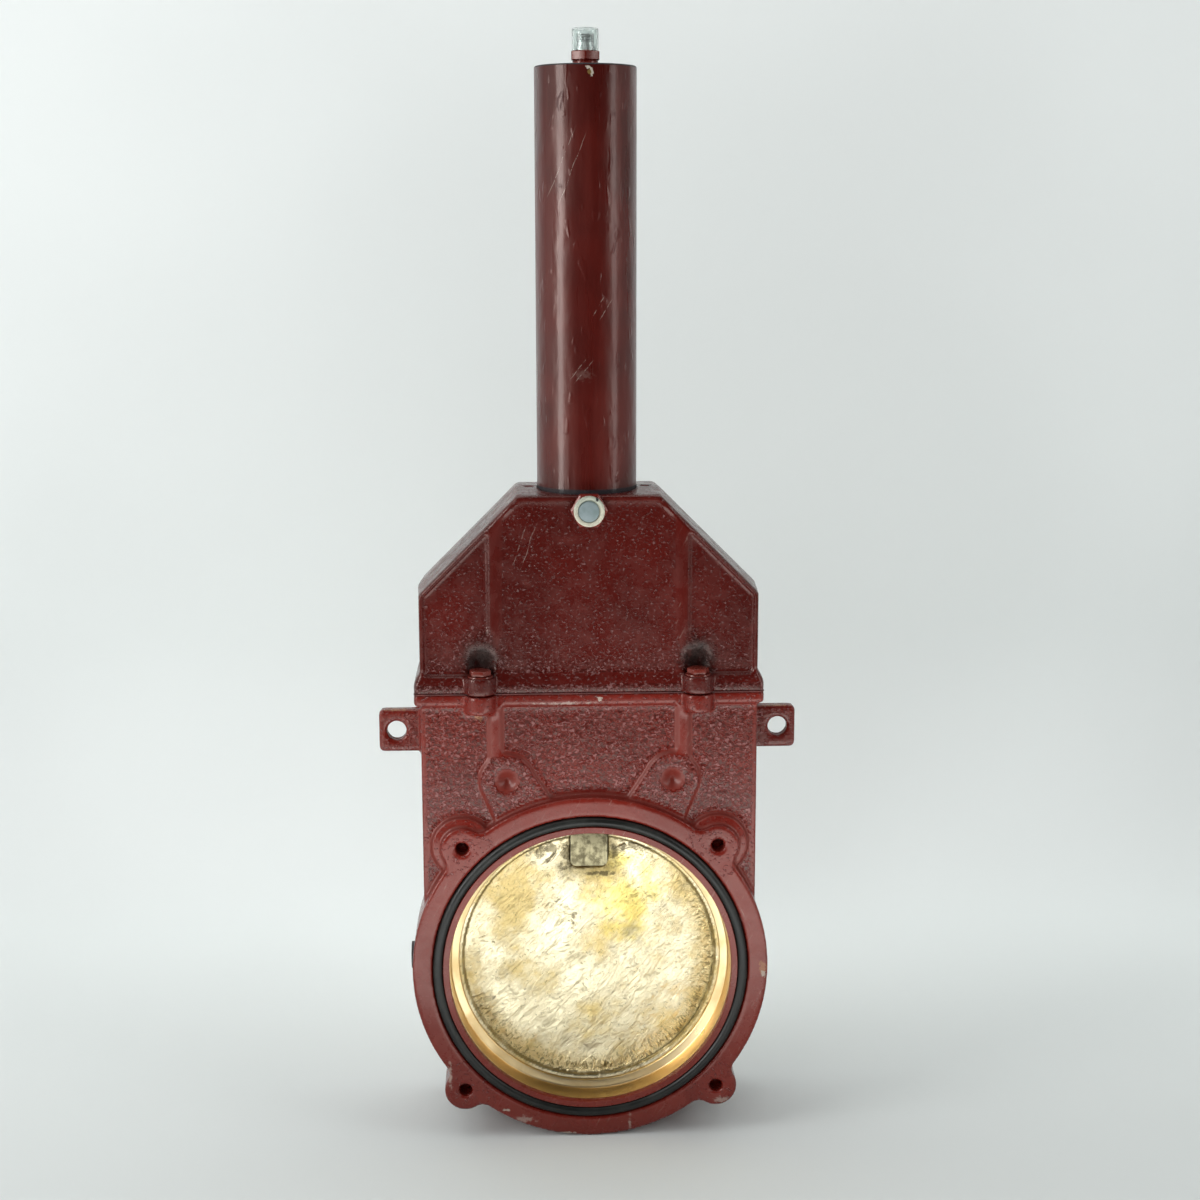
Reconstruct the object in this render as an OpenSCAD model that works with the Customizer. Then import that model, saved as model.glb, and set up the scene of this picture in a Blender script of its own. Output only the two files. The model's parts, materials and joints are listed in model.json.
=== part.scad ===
// Hydraulic gate valve for a tanker: a cast body and bonnet, a brass gate between two brass
// seat rings, and a single oil cylinder above that lifts the gate clear of the waterway.
// Frame: X to the right, Y from the front flange to the rear flange, Z up along the cylinder.
// Origin: centre of the waterway on the sealing face of the rear flange.

/* [Waterway] */
// Clear bore of the waterway
bore_d = 200; // [170:1:204]
// Distance between the sealing faces of the two flanges
face_to_face = 106; // [100:1:130]
// Depth of each gate seat behind its flange face
seat_depth = 27; // [24:0.5:30]
// Wall of the brass seat rings
seat_ring_wall = 8.5; // [7:0.5:10]
// Set-back of each seat ring behind its flange face
seat_ring_setback = 2; // [1:0.5:4]

/* [Flanges] */
// Diameter of the front flange rim
front_flange_d = 272; // [266:1:290]
// Diameter of the rear flange rim
rear_flange_d = 263; // [258:1:280]
// Height of each flange face above the flat of the castings
flange_proud = 10; // [8:0.5:14]
// Spacing of the four flange holes, the same both ways
hole_pitch = 194; // [190:0.5:204]
// Tapping diameter of the flange holes
hole_d = 10.2; // [8:0.1:14]
// Hole diameter in the rear ears, for a fine thread
rear_hole_d = 10.6; // [8:0.1:14]
// Depth of the flange holes
hole_depth = 18; // [14:1:19]
// Radius of the ear round each flange hole
ear_r = 16; // [14:0.5:20]
// Radius of the fillet between an ear and the rim
ear_fillet = 9; // [5:0.5:14]
// Radius of the step below each upper ear
ear_step_r = 23; // [21:0.5:26]
// Width of the lip between the seat ring and the O-ring groove
groove_lip = 4; // [3.5:0.5:5]
// Width of the O-ring groove
groove_w = 8.5; // [8:0.5:9.5]
// Depth of the O-ring groove
groove_depth = 6; // [4:0.5:7]
// Cord diameter of the flange O-rings
o_ring_cord = 7.4; // [6:0.1:8]

/* [Castings] */
// Width of the castings at the parting plane
casting_w = 257.5; // [254:0.5:280]
// Height of the joint between body and bonnet above the bore axis
joint_z = 215; // [210:1:230]
// Height of the bonnet's shoulders above the bore axis
shoulder_z = 291; // [280:1:300]
// Height of the bonnet's top above the bore axis
top_z = 366; // [362:1:390]
// Draft: how far each face of a casting is smaller than its parting plane
draft = 2.2; // [1:0.1:3]
// Thickness of the casting walls at the sides of the gate chamber
side_wall = 10.5; // [8:0.5:12]
// Thickness of the casting walls in front of and behind the gate chamber
face_wall = 12; // [10:0.5:13]
// Thickness of the bonnet's flange at the joint
bonnet_flange_h = 13; // [10:0.5:18]
// Height of the slope along the bonnet flange's upper edge
joint_slope_h = 6; // [3:0.5:8]
// Thickness of the body's flange at the joint
body_flange_h = 8.5; // [7:0.5:14]
// How far the joint flanges stand out past the castings
joint_lip = 2.8; // [2:0.1:5]
// Thickness of the joint gasket
gasket_t = 1; // [0.5:0.1:2]

/* [Ribs and pads] */
// Distance of the ribs' inner edges from the middle
rib_x = 66; // [55:0.5:67]
// Width of the ribs
rib_w = 9; // [6:0.5:10]
// Depth of the bonnet's side panels below the ribs
panel_depth = 3.5; // [1:0.5:4]
// Depth of the bonnet's centre panel below the ribs
centre_depth = 1.5; // [1:0.1:3]
// Width of the rim round the side panels
rim_w = 3; // [2:0.5:8]
// Height of the body's ribs and pads above its face
pad_h = 3.5; // [2:0.5:5]
// Radius of the round end of the pads
pad_r = 20.5; // [16:0.5:22]
// Distance of the pads' round ends from the middle
pad_x = 62.5; // [56:0.5:66]
// Height of the pads' round ends above the bore axis
pad_z = 148; // [144:0.5:160]
// Diameter of the dimple in each pad
dimple_d = 17; // [10:0.5:20]

/* [Joint bolts] */
// Distance of the joint bolts from the middle
bolt_x = 81.5; // [80:0.5:100]
// Radius of the bolt bosses
boss_r = 11.5; // [11:0.1:12]
// How far the bolt axis lies in front of the castings' flat
bolt_out = 1.2; // [1:0.1:3]
// Clearance hole for the joint bolts
bolt_clear_d = 10.6; // [10.2:0.1:11]
// Tapping diameter for the joint bolts
bolt_tap_d = 8.6; // [8:0.1:9]
// Height of the boss under the joint
boss_drop = 14; // [12:0.5:20]
// Height of the tool clearance above the bolt heads
bolt_pocket_h = 22; // [15:1:30]

/* [Side tabs] */
// Distance between the two tab holes
tab_pitch = 294; // [288:1:320]
// Height of the tab holes above the bore axis
tab_z = 177.7; // [165:0.5:185]
// Height of the tabs
tab_h = 33; // [28:0.5:38]
// Thickness of the tabs
tab_t = 11; // [8:0.5:16]
// Diameter of the tab holes
tab_hole_d = 15; // [10:0.5:18]
// Distance from a tab hole to the tab's end
tab_end = 13.5; // [12:0.5:18]
// Corner radius of the tabs
tab_corner_r = 4; // [2:0.5:8]

/* [Gate] */
// Diameter of the gate
gate_d = 224; // [222:0.5:226]
// Running clearance between the gate and each seat
gate_play = 0.3; // [0.2:0.05:0.6]
// Depth of the rough-cast recess in each face of the gate
gate_recess = 4; // [2:0.5:6]
// Width of the machined band round the gate's recess
gate_band = 14; // [12.5:0.5:18]
// Lift of the gate from shut to open
lift = 214; // [213:1:220]
// Width of the pocket that takes the rod's end
pocket_w = 29; // [27:0.5:34]
// Depth of the rod's pocket below the top of the gate
pocket_depth = 40; // [35:0.5:46]
// Corner radius of the pocket
pocket_corner_r = 6; // [3:0.5:8]
// Width of the block on the end of the rod
block_w = 27; // [24:0.5:28]
// Thickness of the block on the end of the rod
block_t = 22; // [18:0.5:24]
// Diameter of the pin through block and gate
gate_pin_d = 10; // [8:0.5:12]
// Length of the pin through block and gate
gate_pin_l = 60; // [50:1:70]
// Depth of the round chamber below the gate, beyond the gate's radius
chamber_gap = 6; // [5.5:0.5:7]

/* [Cylinder] */
// Outside diameter of the cylinder tube
tube_od = 75; // [74:0.5:76]
// Least wall of the castings round the tube's socket
socket_wall = 4; // [3:0.5:5]
// Wall of the cylinder tube
tube_wall = 5; // [4:0.5:6.5]
// Height of the tube above the bonnet's top
tube_h = 307; // [304:1:330]
// Depth of the tube's seat in the bonnet
tube_seat = 5; // [3:0.5:6]
// Thickness of the end cap
end_cap_t = 18; // [12:0.5:20]
// Diameter of the piston rod
rod_d = 25; // [20:0.5:25]
// Length of the piston
piston_l = 42; // [38:0.5:44]
// Running clearance of the piston and of the rod, on the radius
running_fit = 0.05; // [0.03:0.01:0.08]
// Outside diameter of the rod gland
gland_d = 44; // [42:0.5:46]
// Outside diameter of the gland's collar
gland_collar_d = 54; // [50:0.5:56]
// Thickness of the gland's collar
gland_collar_t = 6; // [4:0.5:8]

/* [Oil ports] */
// Height of the lower oil port above the bore axis
port_z = 353.5; // [352:0.1:354]
// Width across the flats of the lower port's hexagon
port_hex = 24; // [20:0.5:26]
// Width across the flats of the top port's hexagon
top_hex = 20.5; // [18:0.5:24]
// Diameter of the top port's neck
top_neck_d = 19; // [14:0.5:19]
// Height of the top port's neck
top_neck_h = 3.5; // [2:0.5:8]
// Height of the top port's hexagon
top_hex_h = 7; // [5:0.5:12]
// Diameter of the top port's threaded stud
top_stud_d = 16; // [12:0.5:16.5]
// Height of the top port's threaded stud
top_stud_h = 12.5; // [8:0.5:18]
// Outside diameter of the clear cap
cap_d = 19.6; // [18.5:0.1:20]
// Wall of the clear cap
cap_wall = 1.2; // [0.8:0.1:1.5]
// Diameter of the oil way through each port fitting
oil_way_d = 7; // [4:0.5:8]
// Diameter of the grey plug in the lower port
plug_d = 23; // [18:0.5:24]
// Diameter of the screw plug on the side of the body
side_plug_d = 21; // [16:0.5:24]
// Height of the screw plug's centre above the bore axis
side_plug_z = -5.5; // [-12:0.5:5]

/* [Hidden] */
$fn = 96;
eps = 0.02; // how far a cut runs past the face it opens

// Depths along Y
front_y = -face_to_face;
mid_y = front_y / 2;
// the castings are as deep as the flanges' step or the tube's socket asks
half_depth = max(face_to_face / 2 - flange_proud, tube_od / 2 + socket_wall);
flat_front = mid_y - half_depth;
flat_rear = mid_y + half_depth;
chamber_front = flat_front + face_wall;
chamber_rear = flat_rear - face_wall;

// Rings round the waterway
seat_ring_d = bore_d + 2 * seat_ring_wall;
groove_in_d = seat_ring_d + 2 * groove_lip;
groove_out_d = groove_in_d + 2 * groove_w;
tube_bore_d = tube_od - 2 * tube_wall;

// Outline of the castings
half_w = casting_w / 2;
chamber_r = gate_d / 2 + chamber_gap;
chamber_w = half_w - side_wall;
body_top = joint_z - gasket_t / 2;
bonnet_foot = joint_z + gasket_t / 2;
bonnet_flange_top = bonnet_foot + bonnet_flange_h;
slope_sum = half_w + shoulder_z; // x + z along the sloping shoulders at the parting plane
chamber_slope_sum = slope_sum - side_wall * sqrt(2);
chamber_top = lift + gate_d / 2 + chamber_gap;
joint_front = flat_front - joint_lip;
joint_rear = flat_rear + joint_lip;
joint_half_w = half_w + joint_lip;
slab_foot = -20; // the castings' straight sides run down inside the round flange rim

// Flange ears: the fillet's centre lies a fillet outside both the rim and the ear
ear_x = hole_pitch / 2;
front_r = front_flange_d / 2;
rear_r = rear_flange_d / 2;
function ear_dist() = ear_x * sqrt(2);
function fillet_turn(rim_r) = acos((pow(rim_r + ear_fillet, 2) + pow(ear_dist(), 2)
    - pow(ear_r + ear_fillet, 2)) / (2 * (rim_r + ear_fillet) * ear_dist()));
function at_angle(r, a) = [r * cos(a), r * sin(a)];

// Bolts
bolt_front_y = flat_front - bolt_out;

// Moving parts
gate_t = face_to_face - 2 * seat_depth - 2 * gate_play;
gate_front = mid_y - gate_t / 2;
recess_r = gate_d / 2 - gate_band;
pocket_z = gate_d / 2 - pocket_depth;
block_foot = pocket_z + 1;
block_corner_r = pocket_corner_r - 1;
block_top = gate_d / 2 - 6;
gate_pin_z = (block_foot + block_top) / 2;
tube_foot = top_z - tube_seat;
tube_top = top_z + tube_h;
gland_collar_top = tube_foot + gland_collar_t;
piston_foot = gland_collar_top + 5;
piston_top = piston_foot + piston_l;
nut_h = 14;
nut_d = tube_bore_d * 0.48;
rod_neck_d = 18;
rod_top = piston_top + nut_h + 3;
piston_r = tube_bore_d / 2 - running_fit;
seal_groove_w = 7;
seal_groove_d = 5;
guide_groove_w = 9;
guide_groove_d = 2.5;
rod_groove_w = 5;
rod_groove_d = 4;

// Oil ports
washer_t = 1.5;
port_face_y = flat_front + centre_depth;
port_hex_t = 8;
port_thread_d = 10;
port_thread_l = 12;
plug_flange_t = 3;
lug_hole_d = 8;
lug_hole_x = 44;
lug_hole_depth = 12;
side_plug_t = 4;
side_plug_thread_d = 12;

red = [0.33, 0.07, 0.06];
brass = [0.80, 0.66, 0.35];
steel = [0.62, 0.62, 0.63];
rubber = [0.07, 0.08, 0.08];
plastic = [0.66, 0.69, 0.68];

// A flat outline drawn in X and Z, made solid from depth y0 back to depth y1
module plate(y0, y1) {
    translate([0, y1, 0]) rotate([90, 0, 0]) linear_extrude(y1 - y0) children();
}

// A round bar along Y
module bar_y(d, y0, y1, x = 0, z = 0) {
    translate([x, y1, z]) rotate([90, 0, 0]) cylinder(h = y1 - y0, d = d);
}

// A ring along Y
module ring_y(d_out, d_in, y0, y1) {
    difference() {
        bar_y(d_out, y0, y1);
        bar_y(d_in, y0 - 1, y1 + 1);
    }
}

// A ring along Z
module ring_z(d_out, d_in, z0, z1) {
    translate([0, mid_y, z0]) difference() {
        cylinder(h = z1 - z0, d = d_out);
        translate([0, 0, -1]) cylinder(h = z1 - z0 + 2, d = d_in);
    }
}

module both_sides() {
    children();
    mirror([1, 0, 0]) children();
}

// Copies a front detail to the rear, about the parting plane
module both_faces() {
    children();
    translate([0, 2 * mid_y, 0]) mirror([0, 1, 0]) children();
}

// A rectangle with round corners, from its middle
module round_rect(w, h, r) {
    square([w - 2 * r, h], center = true);
    square([w, h - 2 * r], center = true);
    for (x = [-1, 1], y = [-1, 1]) translate([x * (w / 2 - r), y * (h / 2 - r)]) circle(r = r, $fn = 48);
}

// The castings' outline, drawn in by an inset
module body_outline(inset) {
    polygon([[-half_w + inset, slab_foot], [half_w - inset, slab_foot],
        [half_w - inset, body_top], [-half_w + inset, body_top]]);
}

module bonnet_outline(inset, foot, sum) {
    w = half_w - inset;
    top = top_z - inset;
    s = sum - inset * sqrt(2);
    polygon([[-w, foot], [w, foot], [w, s - w], [s - top, top], [top - s, top], [-w, s - w]]);
}

// Half of a casting, widest at the parting plane
module drafted_half(front) {
    face = front ? flat_front : flat_rear - 0.1;
    hull() {
        plate(front ? mid_y - 0.1 : mid_y, front ? mid_y : mid_y + 0.1) children(0);
        plate(face, face + 0.1) children(1);
    }
}

// One fillet between an ear and a rim, in the flange's plane
module ear_fillet_2d(rim_r, side) {
    turn = 45 + side * fillet_turn(rim_r);
    ear = [ear_x, ear_x];
    p = at_angle(rim_r + ear_fillet, turn);
    on_rim = at_angle(rim_r - 0.5, turn);
    on_ear = ear + (p - ear) * (ear_r - 0.5) / (ear_r + ear_fillet);
    difference() {
        polygon([at_angle(rim_r - 14, 45), on_rim, p, on_ear, ear]);
        translate(p) circle(r = ear_fillet + 0.1);
    }
}

// An ear with its two fillets, in the corner that the signs give
module ear_2d(rim_r, sx, sz) {
    scale([sx, sz]) {
        translate([ear_x, ear_x]) circle(r = ear_r);
        for (side = [-1, 1]) ear_fillet_2d(rim_r, side);
    }
}

module flange_ears(rim_r, y0, y1, corners) {
    for (c = corners) plate(y0, y1) ear_2d(rim_r, c[0], c[1]);
}

// A raised pad that runs in towards the waterway, wider at its inner side
module pad_2d() {
    lean = atan2(pad_x, pad_z);
    translate([pad_x, pad_z]) circle(r = pad_r);
    translate([pad_x, pad_z]) rotate(-lean)
        polygon([[pad_r - 0.2, 0], [-pad_r + 0.2, 0], [-pad_r - 6, -34], [pad_r, -34]]);
}

module body_reliefs() {
    both_sides() {
        plate(flat_front - pad_h, flat_front + 1) pad_2d();
        translate([rib_x, flat_front - pad_h, pad_z])
            cube([rib_w, pad_h + 1, body_top - body_flange_h - pad_z + 1]);
        bar_y(2 * ear_step_r, flat_front - flange_proud / 2, flat_front + 1, ear_x, ear_x);
    }
}

module joint_plate(z0, z1, inset = 0) {
    translate([0, mid_y, z0]) linear_extrude(z1 - z0)
        round_rect(2 * (joint_half_w - inset), joint_rear - joint_front - 2 * inset, 4);
}

module bolt_bosses(z0, z1) {
    both_faces() both_sides() {
        translate([bolt_x, bolt_front_y, z0]) cylinder(h = z1 - z0, r = boss_r);
        translate([bolt_x - boss_r + 2, bolt_front_y, z0])
            cube([2 * boss_r - 4, flat_front - bolt_front_y + 1, z1 - z0]);
    }
}

module bolt_holes(d, z0, z1) {
    both_faces() both_sides() translate([bolt_x, bolt_front_y, z0]) cylinder(h = z1 - z0, d = d);
}

module side_tab() {
    tab_in = half_w - 2;
    tab_out = tab_pitch / 2 + tab_end;
    plate(mid_y - tab_t / 2, mid_y + tab_t / 2)
        translate([(tab_in - 6 + tab_out) / 2, tab_z]) round_rect(tab_out - tab_in + 6, tab_h, tab_corner_r);
}

module body_solid() {
    for (front = [true, false]) drafted_half(front) {
        body_outline(0);
        body_outline(draft);
    }
    bar_y(front_flange_d, front_y, mid_y);
    bar_y(rear_flange_d, mid_y, 0);
    flange_ears(front_r, front_y, mid_y, [[1, -1], [-1, -1]]);
    flange_ears(rear_r, mid_y, 0, [[1, -1], [-1, -1]]);
    flange_ears(front_r, front_y, flat_front + 1, [[1, 1], [-1, 1]]);
    flange_ears(rear_r, flat_rear - 1, 0, [[1, 1], [-1, 1]]);
    both_faces() body_reliefs();
    joint_plate(body_top - body_flange_h, body_top);
    bolt_bosses(body_top - boss_drop, body_top);
    both_sides() side_tab();
    // boss that carries the side plug
    translate([-front_r + 1, mid_y, side_plug_z]) rotate([0, 90, 0])
        cylinder(h = front_r - chamber_r - 2, d = side_plug_d + 3);
}

module groove(y0, y1) {
    ring_y(groove_out_d, groove_in_d, y0, y1);
}

module body_casting() {
    color(red) difference() {
        body_solid();
        // gate chamber, open at the joint
        bar_y(2 * chamber_r, chamber_front, chamber_rear);
        translate([-chamber_w, chamber_front, 0])
            cube([2 * chamber_w, chamber_rear - chamber_front, body_top + 1]);
        // waterway with the seat rings' housings
        bar_y(seat_ring_d, front_y - 1, 1);
        groove(front_y - eps, front_y + groove_depth);
        groove(-groove_depth, eps);
        for (sx = [-1, 1], sz = [-1, 1]) {
            bar_y(hole_d, front_y - 1, front_y + hole_depth, sx * ear_x, sz * ear_x);
            bar_y(rear_hole_d, -hole_depth, 1, sx * ear_x, sz * ear_x);
        }
        for (sx = [-1, 1])
            bar_y(tab_hole_d, mid_y - tab_t, mid_y + tab_t, sx * tab_pitch / 2, tab_z);
        both_faces() both_sides() translate([pad_x, flat_front - pad_h - eps, pad_z])
            rotate([-90, 0, 0]) cylinder(h = dimple_d / 2.2, d1 = dimple_d, d2 = 1);
        bolt_holes(bolt_tap_d, body_top - boss_drop + 2, body_top + 1);
        translate([-front_r - 1, mid_y, side_plug_z]) rotate([0, 90, 0])
            cylinder(h = front_r - chamber_r + 8, d = side_plug_thread_d);
        // flat for the side plug to seat on
        translate([-front_r - 5, mid_y, side_plug_z]) rotate([0, 90, 0])
            cylinder(h = 6, d = side_plug_d + 2);
    }
}

// The side panel's outline on the bonnet, parallel to the rim
module side_panel_2d() {
    in = rib_x + rib_w;
    out = half_w - draft - rim_w;
    s = slope_sum - (draft + rim_w) * sqrt(2);
    polygon([[in, bonnet_flange_top], [out, bonnet_flange_top], [out, s - out], [in, s - in]]);
}

module centre_panel_2d() {
    top = top_z - draft - 3;
    s = slope_sum - (draft + rim_w) * sqrt(2);
    polygon([[-rib_x, bonnet_flange_top], [rib_x, bonnet_flange_top], [rib_x, s - rib_x],
        [s - top, top], [top - s, top], [-rib_x, s - rib_x]]);
}

module bonnet_cuts() {
    both_sides() plate(flat_front - 1, flat_front + panel_depth) side_panel_2d();
    plate(flat_front - 1, flat_front + centre_depth) centre_panel_2d();
    both_sides() translate([bolt_x, bolt_front_y, bonnet_flange_top]) {
        cylinder(h = bolt_pocket_h - boss_r, r = boss_r - 1);
        translate([0, 0, bolt_pocket_h - boss_r]) sphere(r = boss_r - 1, $fn = 48);
    }
}

module bonnet_casting() {
    color(red) difference() {
        union() {
            difference() {
                for (front = [true, false]) drafted_half(front) {
                    bonnet_outline(0, bonnet_foot, slope_sum);
                    bonnet_outline(draft, bonnet_foot, slope_sum);
                }
                both_faces() bonnet_cuts();
            }
            joint_plate(bonnet_foot, bonnet_flange_top - joint_slope_h);
            // the flange's sloping upper edge
            hull() {
                joint_plate(bonnet_flange_top - joint_slope_h - 0.1, bonnet_flange_top - joint_slope_h);
                joint_plate(bonnet_flange_top - 0.1, bonnet_flange_top, joint_lip);
            }
            bolt_bosses(bonnet_foot, bonnet_flange_top);
        }
        // gate chamber
        plate(chamber_front, chamber_rear)
            polygon([[-chamber_w, bonnet_foot - 1], [chamber_w, bonnet_foot - 1],
                [chamber_w, chamber_slope_sum - chamber_w],
                [chamber_slope_sum - chamber_top, chamber_top],
                [chamber_top - chamber_slope_sum, chamber_top],
                [-chamber_w, chamber_slope_sum - chamber_w]]);
        translate([0, mid_y, chamber_top - 1]) cylinder(h = top_z - chamber_top + 2, d = gland_d);
        translate([0, mid_y, tube_foot]) cylinder(h = tube_seat + 1, d = tube_od);
        for (sx = [-1, 1]) translate([sx * lug_hole_x, mid_y, top_z - lug_hole_depth])
            cylinder(h = lug_hole_depth + 1, d = lug_hole_d);
        bolt_holes(bolt_clear_d, bonnet_foot - 1, bonnet_flange_top + 1);
        // spot face and oil way from the front port up into the cylinder
        bar_y(port_hex, flat_front - 1, port_face_y, 0, port_z);
        bar_y(port_thread_d, flat_front - 1, flat_front + port_thread_l + 6, 0, port_z);
        translate([0, flat_front + port_thread_l + 1.5, port_z])
            cylinder(h = 30, d = oil_way_d - 1);
    }
}

module bonnet_gasket() {
    color(rubber) difference() {
        joint_plate(body_top, bonnet_foot);
        translate([-chamber_w, chamber_front, body_top - 1])
            cube([2 * chamber_w, chamber_rear - chamber_front, gasket_t + 2]);
        bolt_holes(bolt_clear_d, body_top - 1, bonnet_foot + 1);
    }
}

// Seat ring, drawn from its flange end: a bell mouth that narrows to the clear bore
module seat_ring() {
    l = seat_depth - seat_ring_setback;
    mouth = seat_ring_d / 2 - 1.2;
    color(brass) translate([0, front_y + seat_ring_setback, 0]) rotate([-90, 0, 0]) difference() {
        cylinder(h = l, d = seat_ring_d);
        translate([0, 0, -1]) cylinder(h = l + 2, d = bore_d);
        translate([0, 0, -eps]) cylinder(h = l * 0.78, r1 = mouth, r2 = bore_d / 2 - 0.01);
        translate([0, 0, l * 0.3]) rotate_extrude()
            translate([seat_ring_d / 2, 0]) square([3, 4.4], center = true);
    }
}

module front_seat_ring() {
    seat_ring();
}

module rear_seat_ring() {
    translate([0, 2 * mid_y, 0]) mirror([0, 1, 0]) seat_ring();
}

module seat_seal() {
    y = front_y + seat_ring_setback + (seat_depth - seat_ring_setback) * 0.3;
    color(rubber) ring_y(seat_ring_d, seat_ring_d - 3, y - 2.2, y + 2.2);
}

module front_seat_seal() {
    seat_seal();
}

module rear_seat_seal() {
    translate([0, 2 * mid_y, 0]) mirror([0, 1, 0]) seat_seal();
}

// Flange O-ring, resting on the floor of its groove
module flange_o_ring() {
    color(rubber) translate([0, front_y + groove_depth - o_ring_cord / 2, 0]) rotate([90, 0, 0])
        rotate_extrude() translate([(groove_in_d + groove_out_d) / 4, 0]) circle(d = o_ring_cord, $fn = 32);
}

module front_flange_o_ring() {
    flange_o_ring();
}

module rear_flange_o_ring() {
    translate([0, 2 * mid_y, 0]) mirror([0, 1, 0]) flange_o_ring();
}

// A slot with round lower corners, open at the top of the gate
module pocket_2d() {
    translate([0, pocket_z + gate_d / 2]) round_rect(pocket_w, gate_d, pocket_corner_r);
}

module gate() {
    color(brass) difference() {
        bar_y(gate_d, gate_front, gate_front + gate_t);
        both_faces() bar_y(2 * recess_r, gate_front - 1, gate_front + gate_recess);
        // pocket for the rod's end, open at the front and at the top
        plate(gate_front - 1, mid_y + rod_d / 2 + 1) pocket_2d();
        translate([-gate_pin_l / 2, mid_y, gate_pin_z]) rotate([0, 90, 0])
            cylinder(h = gate_d, d = gate_pin_d);
    }
}

module gate_pin() {
    color(steel) translate([-gate_pin_l / 2, mid_y, gate_pin_z]) rotate([0, 90, 0])
        cylinder(h = gate_pin_l, d = gate_pin_d);
}

module piston_rod() {
    color(steel) difference() {
        union() {
            plate(mid_y - block_t / 2, mid_y + block_t / 2) translate([0, (block_foot + block_top) / 2])
                round_rect(block_w, block_top - block_foot, block_corner_r);
            translate([0, mid_y, block_top]) cylinder(h = piston_foot - block_top, d = rod_d);
            translate([0, mid_y, piston_foot]) cylinder(h = rod_top - piston_foot, d = rod_neck_d);
        }
        translate([-block_w, mid_y, gate_pin_z]) rotate([0, 90, 0]) cylinder(h = 2 * block_w, d = gate_pin_d);
    }
}

// Heights of the piston's grooves above its foot
lower_seal_z = 5;
guide_z = (piston_l - guide_groove_w) / 2;
upper_seal_z = piston_l - 5 - seal_groove_w;

module piston_ring(z, w, depth) {
    ring_z(2 * piston_r, 2 * (piston_r - depth), piston_foot + z, piston_foot + z + w);
}

module piston() {
    color(steel) difference() {
        ring_z(2 * piston_r, rod_neck_d, piston_foot, piston_top);
        for (z = [lower_seal_z, upper_seal_z]) ring_z(tube_od, 2 * (piston_r - seal_groove_d),
            piston_foot + z, piston_foot + z + seal_groove_w);
        ring_z(tube_od, 2 * (piston_r - guide_groove_d), piston_foot + guide_z,
            piston_foot + guide_z + guide_groove_w);
    }
}

module piston_lower_seal() {
    color(rubber) piston_ring(lower_seal_z, seal_groove_w, seal_groove_d);
}

module piston_upper_seal() {
    color(rubber) piston_ring(upper_seal_z, seal_groove_w, seal_groove_d);
}

module piston_guide_ring() {
    color(plastic) piston_ring(guide_z, guide_groove_w, guide_groove_d);
}

module piston_nut() {
    color(steel) translate([0, mid_y, piston_top]) difference() {
        cylinder(h = nut_h, d = nut_d, $fn = 6);
        translate([0, 0, -1]) cylinder(h = nut_h + 2, d = rod_neck_d);
    }
}

// Gland grooves, as heights above the chamber's top
gland_h = tube_foot - chamber_top;
gland_seal_z = chamber_top + gland_h * 0.62;
gland_wiper_z = chamber_top + gland_h * 0.2;
gland_ring_z = chamber_top + gland_h * 0.42;
gland_ring_w = 4.5;

module rod_gland() {
    bore = rod_d + 2 * running_fit;
    color(steel) difference() {
        union() {
            ring_z(gland_d, bore, chamber_top, tube_foot);
            ring_z(gland_collar_d, bore, tube_foot, gland_collar_top);
        }
        ring_z(rod_d + 2 * rod_groove_d, rod_d - 1, gland_seal_z, gland_seal_z + rod_groove_w);
        ring_z(rod_d + 2 * rod_groove_d, rod_d - 1, gland_wiper_z, gland_wiper_z + rod_groove_w);
        ring_z(gland_d + 2, gland_d - 5, gland_ring_z, gland_ring_z + gland_ring_w);
    }
}

module gland_rod_seal() {
    color(rubber) ring_z(rod_d + 2 * rod_groove_d, rod_d + 2 * running_fit,
        gland_seal_z, gland_seal_z + rod_groove_w);
}

module gland_wiper() {
    color(rubber) ring_z(rod_d + 2 * rod_groove_d, rod_d + 2 * running_fit,
        gland_wiper_z, gland_wiper_z + rod_groove_w);
}

module gland_o_ring() {
    color(rubber) ring_z(gland_d, gland_d - 5, gland_ring_z, gland_ring_z + gland_ring_w);
}

module cylinder_tube() {
    color(red) ring_z(tube_od, tube_bore_d, tube_foot, tube_top);
}

module cylinder_end_cap() {
    color(red) ring_z(tube_bore_d, port_thread_d, tube_top - end_cap_t - 1, tube_top - 1);
}

module top_port_washer() {
    color(steel) ring_z(top_neck_d + 1, port_thread_d, tube_top - 1, tube_top + washer_t - 1);
}

top_neck_z = tube_top + washer_t - 1;
top_hex_z = top_neck_z + top_neck_h;
top_stud_z = top_hex_z + top_hex_h;

module top_port_adapter() {
    color(red) translate([0, mid_y, 0]) difference() {
        union() {
            translate([0, 0, tube_top - 1 - port_thread_l])
                cylinder(h = port_thread_l + washer_t + 1, d = port_thread_d);
            translate([0, 0, top_neck_z]) cylinder(h = top_neck_h, d = top_neck_d);
            translate([0, 0, top_hex_z]) cylinder(h = top_hex_h, d = top_hex / cos(30), $fn = 6);
            translate([0, 0, top_stud_z]) cylinder(h = top_stud_h, d = top_stud_d);
        }
        translate([0, 0, tube_top - 2 * port_thread_l])
            cylinder(h = 2 * port_thread_l + top_neck_h + top_hex_h + top_stud_h + 5, d = oil_way_d);
    }
}

// Clear thread cap over the top stud
module top_port_cap() {
    color([0.86, 0.9, 0.89, 0.5]) translate([0, mid_y, top_stud_z]) difference() {
        cylinder(h = top_stud_h + 3.5, d = cap_d);
        translate([0, 0, -1]) cylinder(h = top_stud_h + 3.5 - cap_wall + 1, d = cap_d - 2 * cap_wall);
    }
}

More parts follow.
